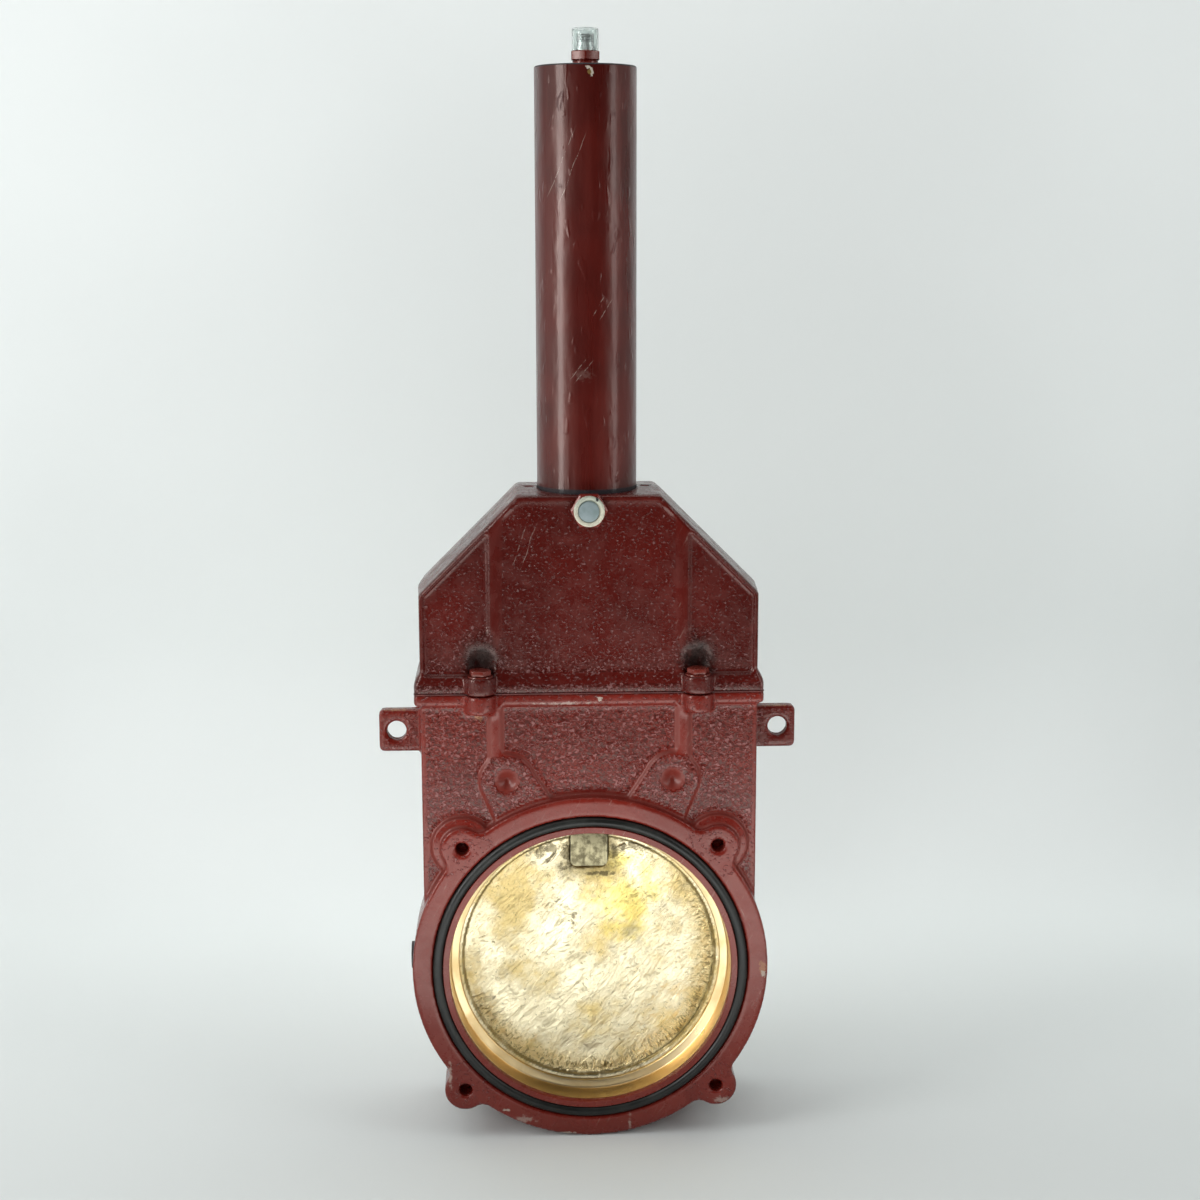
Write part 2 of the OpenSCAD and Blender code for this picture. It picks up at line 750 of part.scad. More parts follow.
module lower_port_washer() {
    color(steel) translate([0, 0, port_z])
        ring_y(port_hex - 2, port_thread_d, port_face_y - washer_t, port_face_y);
}

module lower_port_adapter() {
    hex_front = port_face_y - washer_t - port_hex_t;
    color(red) translate([0, 0, port_z]) difference() {
        union() {
            bar_y(port_thread_d, hex_front, port_face_y + port_thread_l);
            translate([0, port_face_y - washer_t, 0]) rotate([90, 0, 0])
                cylinder(h = port_hex_t, d = port_hex / cos(30), $fn = 6);
        }
        bar_y(oil_way_d, hex_front - 1, port_face_y + port_thread_l + 1);
    }
}

// Grey plug: a flat flange with a dished middle, pushed into the adapter
module lower_port_plug() {
    hex_front = port_face_y - washer_t - port_hex_t;
    color(plastic) translate([0, 0, port_z]) difference() {
        union() {
            bar_y(plug_d, hex_front - plug_flange_t, hex_front);
            bar_y(oil_way_d, hex_front - 1, hex_front + 6);
        }
        bar_y(plug_d - 8, hex_front - plug_flange_t - 1, hex_front - plug_flange_t + 1);
    }
}

module side_plug() {
    color(steel) translate([-front_r + 1, mid_y, side_plug_z]) rotate([0, 90, 0]) {
        cylinder(h = 10, d = side_plug_thread_d);
        translate([0, 0, -side_plug_t]) cylinder(h = side_plug_t, d = side_plug_d);
    }
}

body_casting();
bonnet_casting();
bonnet_gasket();
front_seat_ring();
rear_seat_ring();
front_seat_seal();
rear_seat_seal();
front_flange_o_ring();
rear_flange_o_ring();
gate();
gate_pin();
piston_rod();
piston();
piston_lower_seal();
piston_upper_seal();
piston_guide_ring();
piston_nut();
rod_gland();
gland_rod_seal();
gland_wiper();
gland_o_ring();
cylinder_tube();
cylinder_end_cap();
top_port_adapter();
top_port_washer();
top_port_cap();
lower_port_adapter();
lower_port_washer();
lower_port_plug();
side_plug();
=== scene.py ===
import json
import math
from contextlib import contextmanager
import bpy
import bmesh
import numpy as np
from mathutils import Matrix, Vector, noise


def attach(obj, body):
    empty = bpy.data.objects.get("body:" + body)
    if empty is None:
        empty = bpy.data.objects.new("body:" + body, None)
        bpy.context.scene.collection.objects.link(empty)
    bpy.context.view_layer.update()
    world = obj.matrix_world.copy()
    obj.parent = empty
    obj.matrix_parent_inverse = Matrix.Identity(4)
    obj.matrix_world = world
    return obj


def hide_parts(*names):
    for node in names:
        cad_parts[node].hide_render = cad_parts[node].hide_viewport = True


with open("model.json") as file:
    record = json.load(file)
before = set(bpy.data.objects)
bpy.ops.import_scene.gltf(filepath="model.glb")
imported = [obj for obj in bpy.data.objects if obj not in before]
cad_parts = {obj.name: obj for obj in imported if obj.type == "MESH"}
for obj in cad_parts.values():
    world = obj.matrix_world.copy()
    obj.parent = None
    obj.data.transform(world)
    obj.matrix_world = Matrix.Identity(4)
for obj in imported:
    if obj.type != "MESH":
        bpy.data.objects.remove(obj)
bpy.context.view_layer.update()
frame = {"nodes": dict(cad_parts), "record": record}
nodes = frame["nodes"]
print("frame loaded with", len(nodes), "nodes")

mm = 0.001
valve = {
    "flatFront": -0.096, "midY": -0.053, "flatRear": -0.010, "bonnetFlangeTop": 0.2285, "topZ": 0.366,
    "tubeTop": 0.673, "tubeFoot": 0.361, "tubeR": 0.0375, "tubeBoreR": 0.0325, "portZ": 0.3535,
    "boltX": 0.0815, "boltOut": 0.0012,
}
midY = valve["midY"]  # the parting plane


@contextmanager
def editing(obj):
    bm = bmesh.new()
    bm.from_mesh(obj.data)
    yield bm
    bm.to_mesh(obj.data)
    bm.free()


def shift(bm, offset, verts=None):
    bmesh.ops.translate(bm, verts=verts or bm.verts, vec=offset)


def bevelEdges(bm, edges, offset, segments=3):
    bmesh.ops.bevel(bm, geom=edges, offset=offset, segments=segments, profile=0.5, affect="EDGES", material=-1)


def turn(bm, degrees, axis):
    bmesh.ops.rotate(bm, verts=bm.verts, cent=(0, 0, 0), matrix=Matrix.Rotation(math.radians(degrees), 3, axis))


def mergedCopy(nodeName):
    bm = bmesh.new()
    bm.from_mesh(nodes[nodeName].data)
    bmesh.ops.remove_doubles(bm, verts=bm.verts, dist=1e-5)
    return bm


def makeObject(bm, name):
    mesh = bpy.data.meshes.new(name)
    bm.to_mesh(mesh)
    bm.free()
    obj = bpy.data.objects.new(name, mesh)
    bpy.context.scene.collection.objects.link(obj)
    for poly in mesh.polygons:
        poly.use_smooth = True
    return obj


def settle(obj, material, body, sharpAngle=None):
    if sharpAngle:
        smoothByAngle(obj, sharpAngle)
    obj.data.materials.clear()
    obj.data.materials.append(material)
    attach(obj, body)
    return obj


def applyModifiers(obj):
    depsgraph = bpy.context.evaluated_depsgraph_get()
    mesh = bpy.data.meshes.new_from_object(obj.evaluated_get(depsgraph))
    old = obj.data
    obj.modifiers.clear()
    obj.data = mesh
    bpy.data.meshes.remove(old)
    for poly in mesh.polygons:
        poly.use_smooth = True
    return obj


def lathe(name, profile, origin, segments=96, forward=False):
    # profile: (radius, height) pairs, turned about z through origin, or about -y when it faces forward
    bm = bmesh.new()
    verts = [bm.verts.new((r, 0, h)) for r, h in profile]
    edges = [bm.edges.new((a, b)) for a, b in zip(verts, verts[1:])]
    bmesh.ops.spin(bm, geom=verts + edges, cent=(0, 0, 0), axis=(0, 0, 1), dvec=(0, 0, 0),
                   angle=2 * math.pi, steps=segments, use_merge=True, use_duplicate=False)
    bmesh.ops.remove_doubles(bm, verts=bm.verts, dist=1e-6)
    bmesh.ops.recalc_face_normals(bm, faces=bm.faces)
    if forward:
        turn(bm, 90, "X")
    shift(bm, origin)
    return makeObject(bm, name)


def smoothByAngle(obj, degrees):
    with editing(obj) as bm:
        for edge in bm.edges:
            sharp = len(edge.link_faces) == 2 and edge.calc_face_angle() > math.radians(degrees)
            edge.smooth = not sharp


class Nodes:
    # the nodes of a material or of the world, with short names for what is added

    def __init__(self, owner):
        owner.use_nodes = True
        self.owner, self.tree, self.link = owner, owner.node_tree, owner.node_tree.links.new

    def add(self, kind, **settings):
        node = self.tree.nodes.new("ShaderNode" + kind)
        for key, value in settings.items():
            if key in node.inputs:
                node.inputs[key].default_value = value
            else:
                setattr(node, key, value)
        return node

    def plug(self, value, socket):
        # a number or a colour is set; an output is linked
        if isinstance(value, tuple):
            socket.default_value = (*value[:3], 1.0)
        elif isinstance(value, (int, float)):
            socket.default_value = value
        elif value is not None:
            self.link(value, socket)

    def coords(self, stretch=(1, 1, 1)):
        mapping = self.add("Mapping", Scale=stretch)
        self.link(self.add("TexCoord").outputs["Object"], mapping.inputs["Vector"])
        return mapping.outputs["Vector"]

    def leaning(self, vector, degrees, scale=(1, 1, 1), place=(0, 0, 0)):
        # space turned about y, so that what is drawn in it leans
        mapping = self.add("Mapping", vector_type="TEXTURE", Location=place, Scale=scale,
                           Rotation=(0, math.radians(degrees), 0))
        self.link(vector, mapping.inputs["Vector"])
        return mapping.outputs["Vector"]

    def axes(self, vector):
        split = self.add("SeparateXYZ")
        self.link(vector, split.inputs[0])
        return tuple(split.outputs)

    def attribute(self, name):
        return self.add("Attribute", attribute_name=name).outputs["Fac"]

    def noise(self, vector, scale, detail=2.0, rough=0.5, distortion=0.0):
        node = self.add("TexNoise", Scale=scale, Detail=detail, Roughness=rough, Distortion=distortion)
        self.link(vector, node.inputs["Vector"])
        return node.outputs["Fac"]

    def remap(self, value, fromLow, fromHigh, toLow=0.0, toHigh=1.0):
        limits = {"From Min": fromLow, "From Max": fromHigh, "To Min": toLow, "To Max": toHigh}
        node = self.add("MapRange", interpolation_type="SMOOTHSTEP", **limits)
        self.link(value, node.inputs["Value"])
        return node.outputs["Result"]

    def maths(self, operation, a, b=None):
        node = self.add("Math", operation=operation)
        self.plug(a, node.inputs[0])
        self.plug(b, node.inputs[1])
        return node.outputs[0]

    def plus(self, a, b):
        return self.maths("ADD", a, b)

    def times(self, a, b):
        return self.maths("MULTIPLY", a, b)

    def most(self, a, b):
        return self.maths("MAXIMUM", a, b)

    def mix(self, factor, a, b):
        node = self.add("Mix", data_type="RGBA")
        for value, index in ((factor, 0), (a, 6), (b, 7)):
            self.plug(value, node.inputs[index])
        return node.outputs[2]

    def bump(self, height, distance, normal=None):
        node = self.add("Bump", Distance=distance, Strength=1.0)
        self.link(height, node.inputs["Height"])
        self.plug(normal, node.inputs["Normal"])
        return node.outputs["Normal"]

    def patches(self, vector, places, ragged=0.5, raggedScale=450, soft=0.2):
        # places: (centre, half sizes); 1 inside each ragged ellipsoid, 0 outside, over a soft edge
        edge = self.noise(vector, raggedScale, 3.0, 0.6)
        total = None
        for centre, sizes in places:
            length = self.add("VectorMath", operation="LENGTH")
            self.link(self.leaning(vector, 0, sizes, centre), length.inputs[0])
            rough = self.plus(length.outputs["Value"], self.times(edge, ragged * 3))
            mask = self.remap(rough, 1.0 + ragged * 1.5, 1.0 - soft + ragged * 1.5)
            total = mask if total is None else self.most(total, mask)
        return total

    def scratches(self, vector, places, width=0.00035):
        # places: (centre, half length, angle, spacing); thin wandering lines in a soft-ended patch
        wander = self.noise(vector, 60, 2.0)
        total = None
        for centre, half, angle, spacing in places:
            x, _, z = self.axes(self.leaning(vector, -angle, place=centre))
            line = self.maths("PINGPONG", self.plus(z, self.times(wander, 0.003)), spacing)
            ends = self.remap(self.maths("ABSOLUTE", x), half, half * 0.5)
            sides = self.remap(self.maths("ABSOLUTE", z), spacing * 2.2, spacing * 1.8)
            mask = self.times(self.times(self.remap(line, width, width * 0.4), ends), sides)
            total = mask if total is None else self.most(total, mask)
        return self.times(total, self.remap(self.noise(vector, 210, 3.0, 0.7), 0.42, 0.56))

    def surface(self, colour, roughness, normal, constants=None):
        shader = self.tree.nodes["Principled BSDF"]
        sockets = {"Base Color": colour, "Roughness": roughness, "Normal": normal, **(constants or {})}
        for name, value in sockets.items():
            self.plug(value, shader.inputs[name])
        return self.owner


def newMaterial(name):
    return Nodes(bpy.data.materials.new(name))


paint = {
    "roughness": 0.25, "sheen": (1.0, 0.86, 0.78), "scuff": (0.36, 0.29, 0.25), "primer": (0.44, 0.40, 0.33),
    "rust": (0.24, 0.095, 0.035), "paintedShade": (0.010, 0.0035, 0.003), "bareSteel": (0.15, 0.10, 0.03),
    "rimAndFootShade": (0.012, 0.011, 0.016), "grainGlint": (0.46, 0.29, 0.29), "grainStretch": (0.82, 1.0, 1.08),
    # painted light: body, bonnet, bolts and tube are one red enamel in lit and shaded copies, the body and bolt
    # heads painted lighter and the bonnet and tube darker for how the light falls on them
    "body": {"colour": (0.155, 0.0115, 0.0066), "deep": (0.115, 0.0080, 0.0048), "fresh": (0.175, 0.018, 0.011),
             "coat": 0.16, "specular": 0.42, "grain": 450, "grainHeight": 0.0014},
    "bonnet": {"colour": (0.078, 0.0058, 0.0040), "deep": (0.054, 0.0040, 0.0028), "fresh": (0.102, 0.011, 0.0075),
               "coat": 0.10, "specular": 0.38, "grain": 540, "grainHeight": 0.0009},
    "bolts": {"colour": (0.150, 0.020, 0.013), "deep": (0.110, 0.013, 0.009), "fresh": (0.170, 0.028, 0.018),
              "coat": 0.15, "specular": 0.45, "grain": 470, "grainHeight": 0.0009},
    "tube": {"colour": (0.074, 0.0060, 0.0040), "deep": (0.050, 0.0040, 0.0028), "fresh": (0.100, 0.011, 0.0075),
             "coat": 0.12, "specular": 0.45},
}


def enamel(n, tint, colour, roughness, normal):
    return n.surface(colour, roughness, normal, {
        "Coat Weight": tint["coat"], "Coat Roughness": 0.10, "Specular IOR Level": tint["specular"],
        "Specular Tint": paint["sheen"]})


def castPaint(name, tint, wear=None):
    # red-brown enamel over sand-cast iron; the mesh's "cast" attribute says how rough the skin is
    wear = wear or {}
    n = newMaterial(name)
    vector, cast = n.coords(), n.attribute("cast")
    broad = n.noise(vector, 14, 3.0)
    fine = n.noise(vector, 90, 4.0, 0.6)
    colour = n.mix(n.remap(broad, 0.35, 0.68), tint["deep"], tint["colour"])
    colour = n.mix(n.remap(fine, 0.52, 0.78, 0.0, 0.4), colour, tint["fresh"])

    ripple = n.noise(n.coords(paint["grainStretch"]), tint["grain"], 1.0, 0.5, 0.5)
    pits = n.noise(vector, 200, 2.0, 0.5)
    rare = n.remap(cast, 0.0, 1.3, 0.590, 0.480)  # smooth skin keeps a few stray grains only
    grains = n.remap(n.maths("DIVIDE", n.maths("SUBTRACT", ripple, rare), 0.16), 0.0, 1.0)
    grains = n.times(grains, n.remap(cast, 0.0, 0.10, 0.0, 0.6))
    height = n.plus(grains, n.times(n.times(pits, cast), 0.3))
    colour = n.mix(n.remap(cast, 0.0, 0.03, 0.2, 0.0), colour, tint["fresh"])  # smooth faces are painted lighter, a painted highlight where the smooth ribs and faces catch the light
    # painted shade: the hollows between the grains are painted darker
    grainHollowShade = n.times(n.remap(ripple, 0.50, 0.38), n.remap(cast, 0.3, 1.3, 0.0, 0.9))
    colour = n.mix(grainHollowShade, colour, tuple(c * 0.4 for c in tint["deep"]))
    # painted highlight: the tops of the grains are painted pale pink as glints
    colour = n.mix(n.remap(grains, 0.25, 1.0, 0.0, 0.45), colour, paint["grainGlint"])
    filletShade = n.remap(cast, -0.03, -0.16)  # painted shade: the fillets and dimples are painted a deep saturated red
    colour = n.mix(filletShade, colour, tuple(c * 0.8 for c in tint["fresh"]))
    strokes = n.noise(n.leaning(vector, -62, (9, 1, 1)), 620, 3.0, 0.6)  # long fine marks on the smooth faces
    marks = n.times(n.remap(strokes, 0.60, 0.72, 0.0, 0.22), n.remap(cast, 0.0, 0.03, 1.0, 0.0))
    colour = n.mix(n.times(marks, n.remap(broad, 0.42, 0.56)), colour, paint["scuff"])
    normal = n.bump(n.noise(vector, 480, 2.0), 0.00006)
    normal = n.bump(height, tint["grainHeight"], normal)
    roughness = n.remap(fine, 0.3, 0.7, paint["roughness"] - 0.05, paint["roughness"] + 0.1)
    roughness = n.most(roughness, n.times(filletShade, 0.5))

    if "scuffs" in wear:
        mask = n.times(n.patches(vector, wear["scuffs"], 1.0, 420, 0.8), 0.6)
        colour = n.mix(mask, colour, paint["scuff"])
        roughness = n.most(roughness, n.times(mask, 0.55))
    if "scratches" in wear:
        colour = n.mix(n.times(n.scratches(vector, wear["scratches"]), 0.35), colour, paint["scuff"])
    if "rust" in wear:
        colour = n.mix(n.times(n.patches(vector, wear["rust"], 0.9), 0.8), colour, paint["rust"])
    if "chips" in wear:
        mask = n.patches(vector, wear["chips"], 1.0, 380)
        colour = n.mix(n.times(mask, 0.75), colour, n.mix(fine, paint["scuff"], paint["primer"]))
        roughness = n.most(roughness, n.times(mask, 0.6))
        normal = n.bump(n.maths("SUBTRACT", 1.0, mask), 0.00015, normal)
    # painted shade: dark patches in the hollows over the bolts
    if "paintedShade" in wear:
        mask = n.patches(vector, wear["paintedShade"], 0.25, 220, 0.85)
        colour = n.mix(mask, colour, paint["paintedShade"])
        roughness = n.most(roughness, n.times(mask, 0.6))
    return enamel(n, tint, colour, roughness, normal)


def tubePaint(name, tint, wear):
    # the same enamel on drawn steel tube, with runs and blobs down its length
    n = newMaterial(name)
    vector = n.coords()
    runs = n.noise(n.coords((1, 1, 0.10)), 75, 3.0, 0.55)
    lumps = n.noise(n.coords((1, 1, 0.45)), 60, 2.0)
    blobs = n.remap(n.noise(n.coords((1, 1, 0.40)), 170, 1.0), 0.60, 0.78)
    broad = n.noise(vector, 18, 3.0)
    colour = n.mix(n.remap(broad, 0.35, 0.65), tint["deep"], tint["colour"])
    colour = n.mix(n.remap(runs, 0.5, 0.75, 0.0, 0.4), colour, tint["fresh"])
    height = n.plus(n.plus(n.times(runs, 0.5), lumps), n.times(blobs, 0.35))
    normal = n.bump(n.noise(vector, 420, 2.0), 0.00005, n.bump(height, 0.0009))
    marks = n.times(n.scratches(vector, wear["scratches"], 0.0003), 0.6)
    marks = n.most(marks, n.times(n.patches(vector, wear["scuffs"], 1.0, 420, 0.9), 0.1))
    colour = n.mix(marks, colour, paint["scuff"])
    colour = n.mix(n.patches(vector, wear["chips"], 0.8, 520), colour, paint["primer"])
    colour = n.mix(n.patches(vector, wear["bare"], 0.8, 520), colour, paint["bareSteel"])
    # painted shade: a dark band at the top rim for its dark reflection, and at the foot for the contact shadow
    # where the tube meets the bonnet
    z = n.axes(vector)[2]
    rim = n.remap(z, valve["tubeTop"] - 0.0014, valve["tubeTop"] - 0.0008)
    foot = n.remap(z, valve["topZ"] + 0.0022, valve["topZ"] + 0.0006)
    paintedShade = n.most(rim, foot)
    colour = n.mix(paintedShade, colour, paint["rimAndFootShade"])
    roughness = n.most(n.remap(runs, 0.3, 0.7, 0.25, 0.36), n.times(paintedShade, 0.7))
    return enamel(n, tint, colour, roughness, normal)


brass = {
    "pale": (0.88, 0.785, 0.535), "gold": (0.84, 0.67, 0.31), "yellow": (0.93, 0.75, 0.22),
    "olive": (0.19, 0.145, 0.050), "dirt": (0.085, 0.068, 0.035), "ring": (0.78, 0.61, 0.34),
    "ringStainAndShade": (0.62, 0.42, 0.17),
    "yellowPlaces": [
        ((0.030, -0.075, 0.047), (0.034, 0.03, 0.042)), ((0.022, -0.075, 0.074), (0.020, 0.03, 0.016))],
    "dirtPlaces": [
        ((-0.017, -0.075, 0.081), (0.0062, 0.01, 0.019)), ((-0.034, -0.075, 0.087), (0.020, 0.01, 0.0065)),
        ((0.006, -0.075, 0.0668), (0.017, 0.01, 0.0030)), ((0.019, -0.075, 0.083), (0.0050, 0.01, 0.014)),
        ((0.036, -0.075, 0.088), (0.020, 0.01, 0.0050)), ((-0.012, -0.075, 0.028), (0.0045, 0.01, 0.0085))],
}


def castBrass(name):
    # bright rough-cast brass; a mesh attribute darkens it with tarnish near the pocket and with painted shade in
    # the relief's hollows and round the rim of the recess, and the rim is chattered
    n = newMaterial(name)
    vector, tarnishAndShade, chatter = n.coords(), n.attribute("tarnishAndShade"), n.attribute("chatter")
    x, _, z = n.axes(vector)
    radius = n.maths("SQRT", n.plus(n.times(x, x), n.times(z, z)))
    polar = n.add("CombineXYZ")
    n.link(n.times(n.maths("ARCTAN2", z, x), 0.092), polar.inputs[0])
    n.link(n.times(radius, 0.5), polar.inputs[1])
    teeth = n.noise(polar.outputs[0], 430, 3.0, 0.6, 0.7)

    broad = n.noise(vector, 24, 4.0, 0.6)
    streaks = n.leaning(vector, -48, (2.6, 1, 1))  # they run up to the right
    wrinkle = n.noise(streaks, 430, 4.0, 0.62, 0.6)
    swell = n.noise(streaks, 95, 3.0, 0.6, 1.0)
    blotch = n.noise(vector, 75, 4.0, 0.7, 0.5)
    specks = n.noise(vector, 330, 3.0, 0.6, 0.8)
    yellow = n.patches(vector, brass["yellowPlaces"], 0.8, 60, 0.9)
    colour = n.mix(n.remap(broad, 0.46, 0.66), brass["pale"], brass["gold"])
    colour = n.mix(n.times(yellow, 0.85), colour, brass["yellow"])
    colour = n.mix(n.times(chatter, 0.6), colour, brass["gold"])
    clean = n.remap(broad, 0.36, 0.58, 0.2, 1.0)  # smoother places carry fewer strokes
    stain = n.times(clean, n.remap(wrinkle, 0.60, 0.74, 0.0, 0.6))
    for more in (n.remap(swell, 0.64, 0.80, 0.0, 0.30), n.remap(blotch, 0.66, 0.78, 0.0, 0.5),
                 n.remap(specks, 0.60, 0.72, 0.0, 0.6), n.times(chatter, n.remap(teeth, 0.48, 0.64, 0.0, 0.70)),
                 n.times(tarnishAndShade, n.remap(blotch, 0.30, 0.58, 0.55, 1.0))):
        stain = n.most(stain, more)
    colour = n.mix(stain, colour, brass["olive"])
    dirt = n.patches(vector, brass["dirtPlaces"], 1.3, 190, 0.8)
    colour = n.mix(n.times(dirt, 0.8), colour, brass["dirt"])
    height = n.plus(n.times(n.times(wrinkle, clean), 0.8), n.times(blotch, 0.7))
    height = n.plus(n.plus(height, n.times(swell, 1.6)), n.times(n.times(teeth, chatter), 1.3))
    return n.surface(colour, n.remap(broad, 0.35, 0.65, 0.34, 0.52), n.bump(height, 0.0012), {"Metallic": 1.0})


def turnedBrass(name):
    n = newMaterial(name)
    turning = n.noise(n.coords((0.02, 1, 0.02)), 1500, 2.0)
    stain = n.noise(n.coords(), 30, 4.0, 0.6)
    colour = n.mix(n.remap(stain, 0.42, 0.72, 0.0, 0.6), brass["ring"], brass["ringStainAndShade"])
    facing = n.axes(n.add("TexCoord").outputs["Normal"])[1]
    wall = n.remap(n.maths("ABSOLUTE", facing), 0.75, 0.35, 0.0, 0.8)  # painted shade: the bore's wall, facing across, is painted browner than the ledge
    colour = n.mix(wall, colour, brass["ringStainAndShade"])
    return n.surface(colour, n.remap(stain, 0.3, 0.7, 0.27, 0.42), n.bump(turning, 0.00006), {"Metallic": 1.0})


def plainRubber(name, colour=(0.0070, 0.0075, 0.0065)):
    n = newMaterial(name)
    vector = n.coords()
    bloom = n.noise(vector, 60, 3.0)
    tint = n.mix(n.remap(bloom, 0.4, 0.7), colour, tuple(c * 2.2 for c in colour))
    normal = n.bump(n.noise(vector, 900, 2.0), 0.00004)
    return n.surface(tint, n.remap(bloom, 0.3, 0.7, 0.34, 0.46), normal, {"Specular IOR Level": 0.35})


def machinedSteel(name, colour=(0.42, 0.43, 0.44), roughness=0.32, foulBelow=None):
    n = newMaterial(name)
    lines = n.noise(n.coords((1, 1, 0.05)), 900, 3.0)
    tint = n.mix(n.remap(lines, 0.35, 0.7), tuple(c * 0.8 for c in colour), colour)
    if foulBelow is not None:  # the rod's end in the gate is coated with old grease and brass dust
        place = n.coords()
        foul = n.remap(n.axes(place)[2], foulBelow + 0.004, foulBelow)
        cloud = n.noise(place, 140, 5.0, 0.7)
        tint = n.mix(foul, tint, n.mix(n.remap(cloud, 0.38, 0.60), (0.11, 0.095, 0.055), (0.30, 0.27, 0.165)))
    rough = n.remap(lines, 0.3, 0.7, roughness - 0.05, roughness + 0.1)
    return n.surface(tint, rough, n.bump(lines, 0.00003), {"Metallic": 1.0})


def mouldedPlastic(name, colour, dark, roughness=0.45):
    n = newMaterial(name)
    vector = n.coords()
    cloud = n.noise(vector, 160, 3.0)
    tint = n.mix(n.remap(cloud, 0.4, 0.7), colour, dark)
    rough = n.remap(cloud, 0.3, 0.7, roughness - 0.05, roughness + 0.1)
    return n.surface(tint, rough, n.bump(n.noise(vector, 1400, 2.0), 0.00003))


plugPaint = {"cream": (0.50, 0.48, 0.38), "grey": (0.27, 0.31, 0.25), "cloud": (0.20, 0.21, 0.16),
             "nickShade": (0.010, 0.010, 0.009), "nickShadePlaces": [((0.0058, -0.1065, 0.3628), (0.0011, 0.003, 0.0020))]}


def agedPlug(name):
    # cream cap, greyer towards the top, with a notch in its rim painted dark as shade
    n = newMaterial(name)
    vector = n.coords()
    cloud = n.noise(vector, 220, 4.0, 0.6)
    upper = n.remap(n.axes(vector)[2], valve["portZ"] - 0.002, valve["portZ"] + 0.009, 0.0, 0.75)
    tint = n.mix(upper, plugPaint["cream"], plugPaint["grey"])
    tint = n.mix(n.remap(cloud, 0.5, 0.75, 0.0, 0.5), tint, plugPaint["cloud"])
    # painted shade: the notch in the rim is painted dark
    tint = n.mix(n.patches(vector, plugPaint["nickShadePlaces"], 0.4, 500), tint, plugPaint["nickShade"])
    return n.surface(tint, n.remap(cloud, 0.3, 0.7, 0.38, 0.55), n.bump(cloud, 0.0003))


def clearPlastic(name):
    n = newMaterial(name)
    haze = n.noise(n.coords(), 300, 2.0)
    return n.surface((0.86, 0.92, 0.90), n.remap(haze, 0.3, 0.7, 0.08, 0.2), n.bump(haze, 0.00005),
                     {"Transmission Weight": 0.9, "IOR": 1.35})


# places are (centre, half sizes); scratches are (centre, half length, angle, spacing)
tubeWear = {
    "chips": [((0.0005, -0.0905, 0.6700), (0.0020, 0.006, 0.0012)),
              ((0.0030, -0.0905, 0.6668), (0.0014, 0.006, 0.0034))],
    "bare": [((0.0017, -0.0905, 0.6665), (0.0013, 0.006, 0.0022))],
    "scuffs": [((-0.0045, -0.0905, 0.452), (0.010, 0.006, 0.005))],
    "scratches": [((-0.012, -0.0885, 0.600), 0.030, 68, 0.0045), ((0.012, -0.0885, 0.500), 0.010, 60, 0.003),
                  ((-0.004, -0.0905, 0.455), 0.012, 50, 0.0022)],
}
bodyWear = {
    "chips": [
        ((0.0080, -0.0985, 0.2112), (0.0026, 0.004, 0.0018)), ((-0.020, -0.106, -0.1335), (0.008, 0.003, 0.0009)),
        ((0.133, -0.106, -0.006), (0.0022, 0.003, 0.0028)), ((-0.0655, -0.1055, -0.1135), (0.003, 0.002, 0.0010))],
    "scuffs": [
        ((-0.020, -0.0985, 0.2075), (0.024, 0.004, 0.0016)), ((-0.054, -0.106, -0.1215), (0.013, 0.003, 0.0032)),
        ((0.101, -0.106, -0.108), (0.008, 0.003, 0.003)), ((-0.109, -0.106, -0.084), (0.002, 0.003, 0.014)),
        ((0.030, -0.106, -0.126), (0.0014, 0.003, 0.009))],
    "scratches": [((-0.109, -0.106, 0.046), 0.018, 62, 0.0021), ((0.116, -0.106, 0.040), 0.012, -64, 0.0016)],
    "rust": [
        ((0.132, -0.106, -0.001), (0.003, 0.004, 0.005)), ((-0.147, -0.0585, 0.1945), (0.012, 0.008, 0.0012)),
        ((0.147, -0.0585, 0.1945), (0.013, 0.008, 0.0010)), ((-0.083, -0.0975, 0.1975), (0.003, 0.004, 0.004))],
}
bonnetWear = {
    "scratches": [((-0.046, -0.0945, 0.326), 0.022, 70, 0.0034)],
    # painted shade in the hollows over the bolts
    "paintedShade": [((x, y, 0.2400), (0.0200, 0.016, 0.0250)) for x in (-0.0815, 0.0815) for y in (-0.093, -0.013)],
}
bodyPaint = castPaint("castPaintBody", paint["body"], bodyWear)
bonnetPaint = castPaint("castPaintBonnet", paint["bonnet"], bonnetWear)
boltPaint = castPaint("castPaintBolts", paint["bolts"])
trimPaint = castPaint("castPaintTrim", paint["body"])
tubeCoat = tubePaint("tubePaint", paint["tube"], tubeWear)
gateBrass = castBrass("gateBrass")
seatBrass = turnedBrass("seatBrass")
sealRubber = plainRubber("sealRubber")
jointPaste = plainRubber("jointPaste", (0.055, 0.011, 0.009))
brightSteel = machinedSteel("brightSteel")
studSteel = machinedSteel("studSteel", (0.36, 0.38, 0.375), 0.36)
rodSteel = machinedSteel("rodSteel", roughness=0.34, foulBelow=0.112)
greyPlastic = mouldedPlastic("greyPlastic", (0.40, 0.39, 0.32), (0.25, 0.27, 0.22))
plugCentre = mouldedPlastic("plugCentre", (0.20, 0.25, 0.26), (0.15, 0.20, 0.20))
plugRim = agedPlug("plugRim")
darkPlug = mouldedPlastic("darkPlug", (0.018, 0.018, 0.019), (0.03, 0.03, 0.03))
guidePlastic = mouldedPlastic("guidePlastic", (0.55, 0.50, 0.38), (0.48, 0.43, 0.32))
capPlastic = clearPlastic("clearPlastic")
print("materials made")

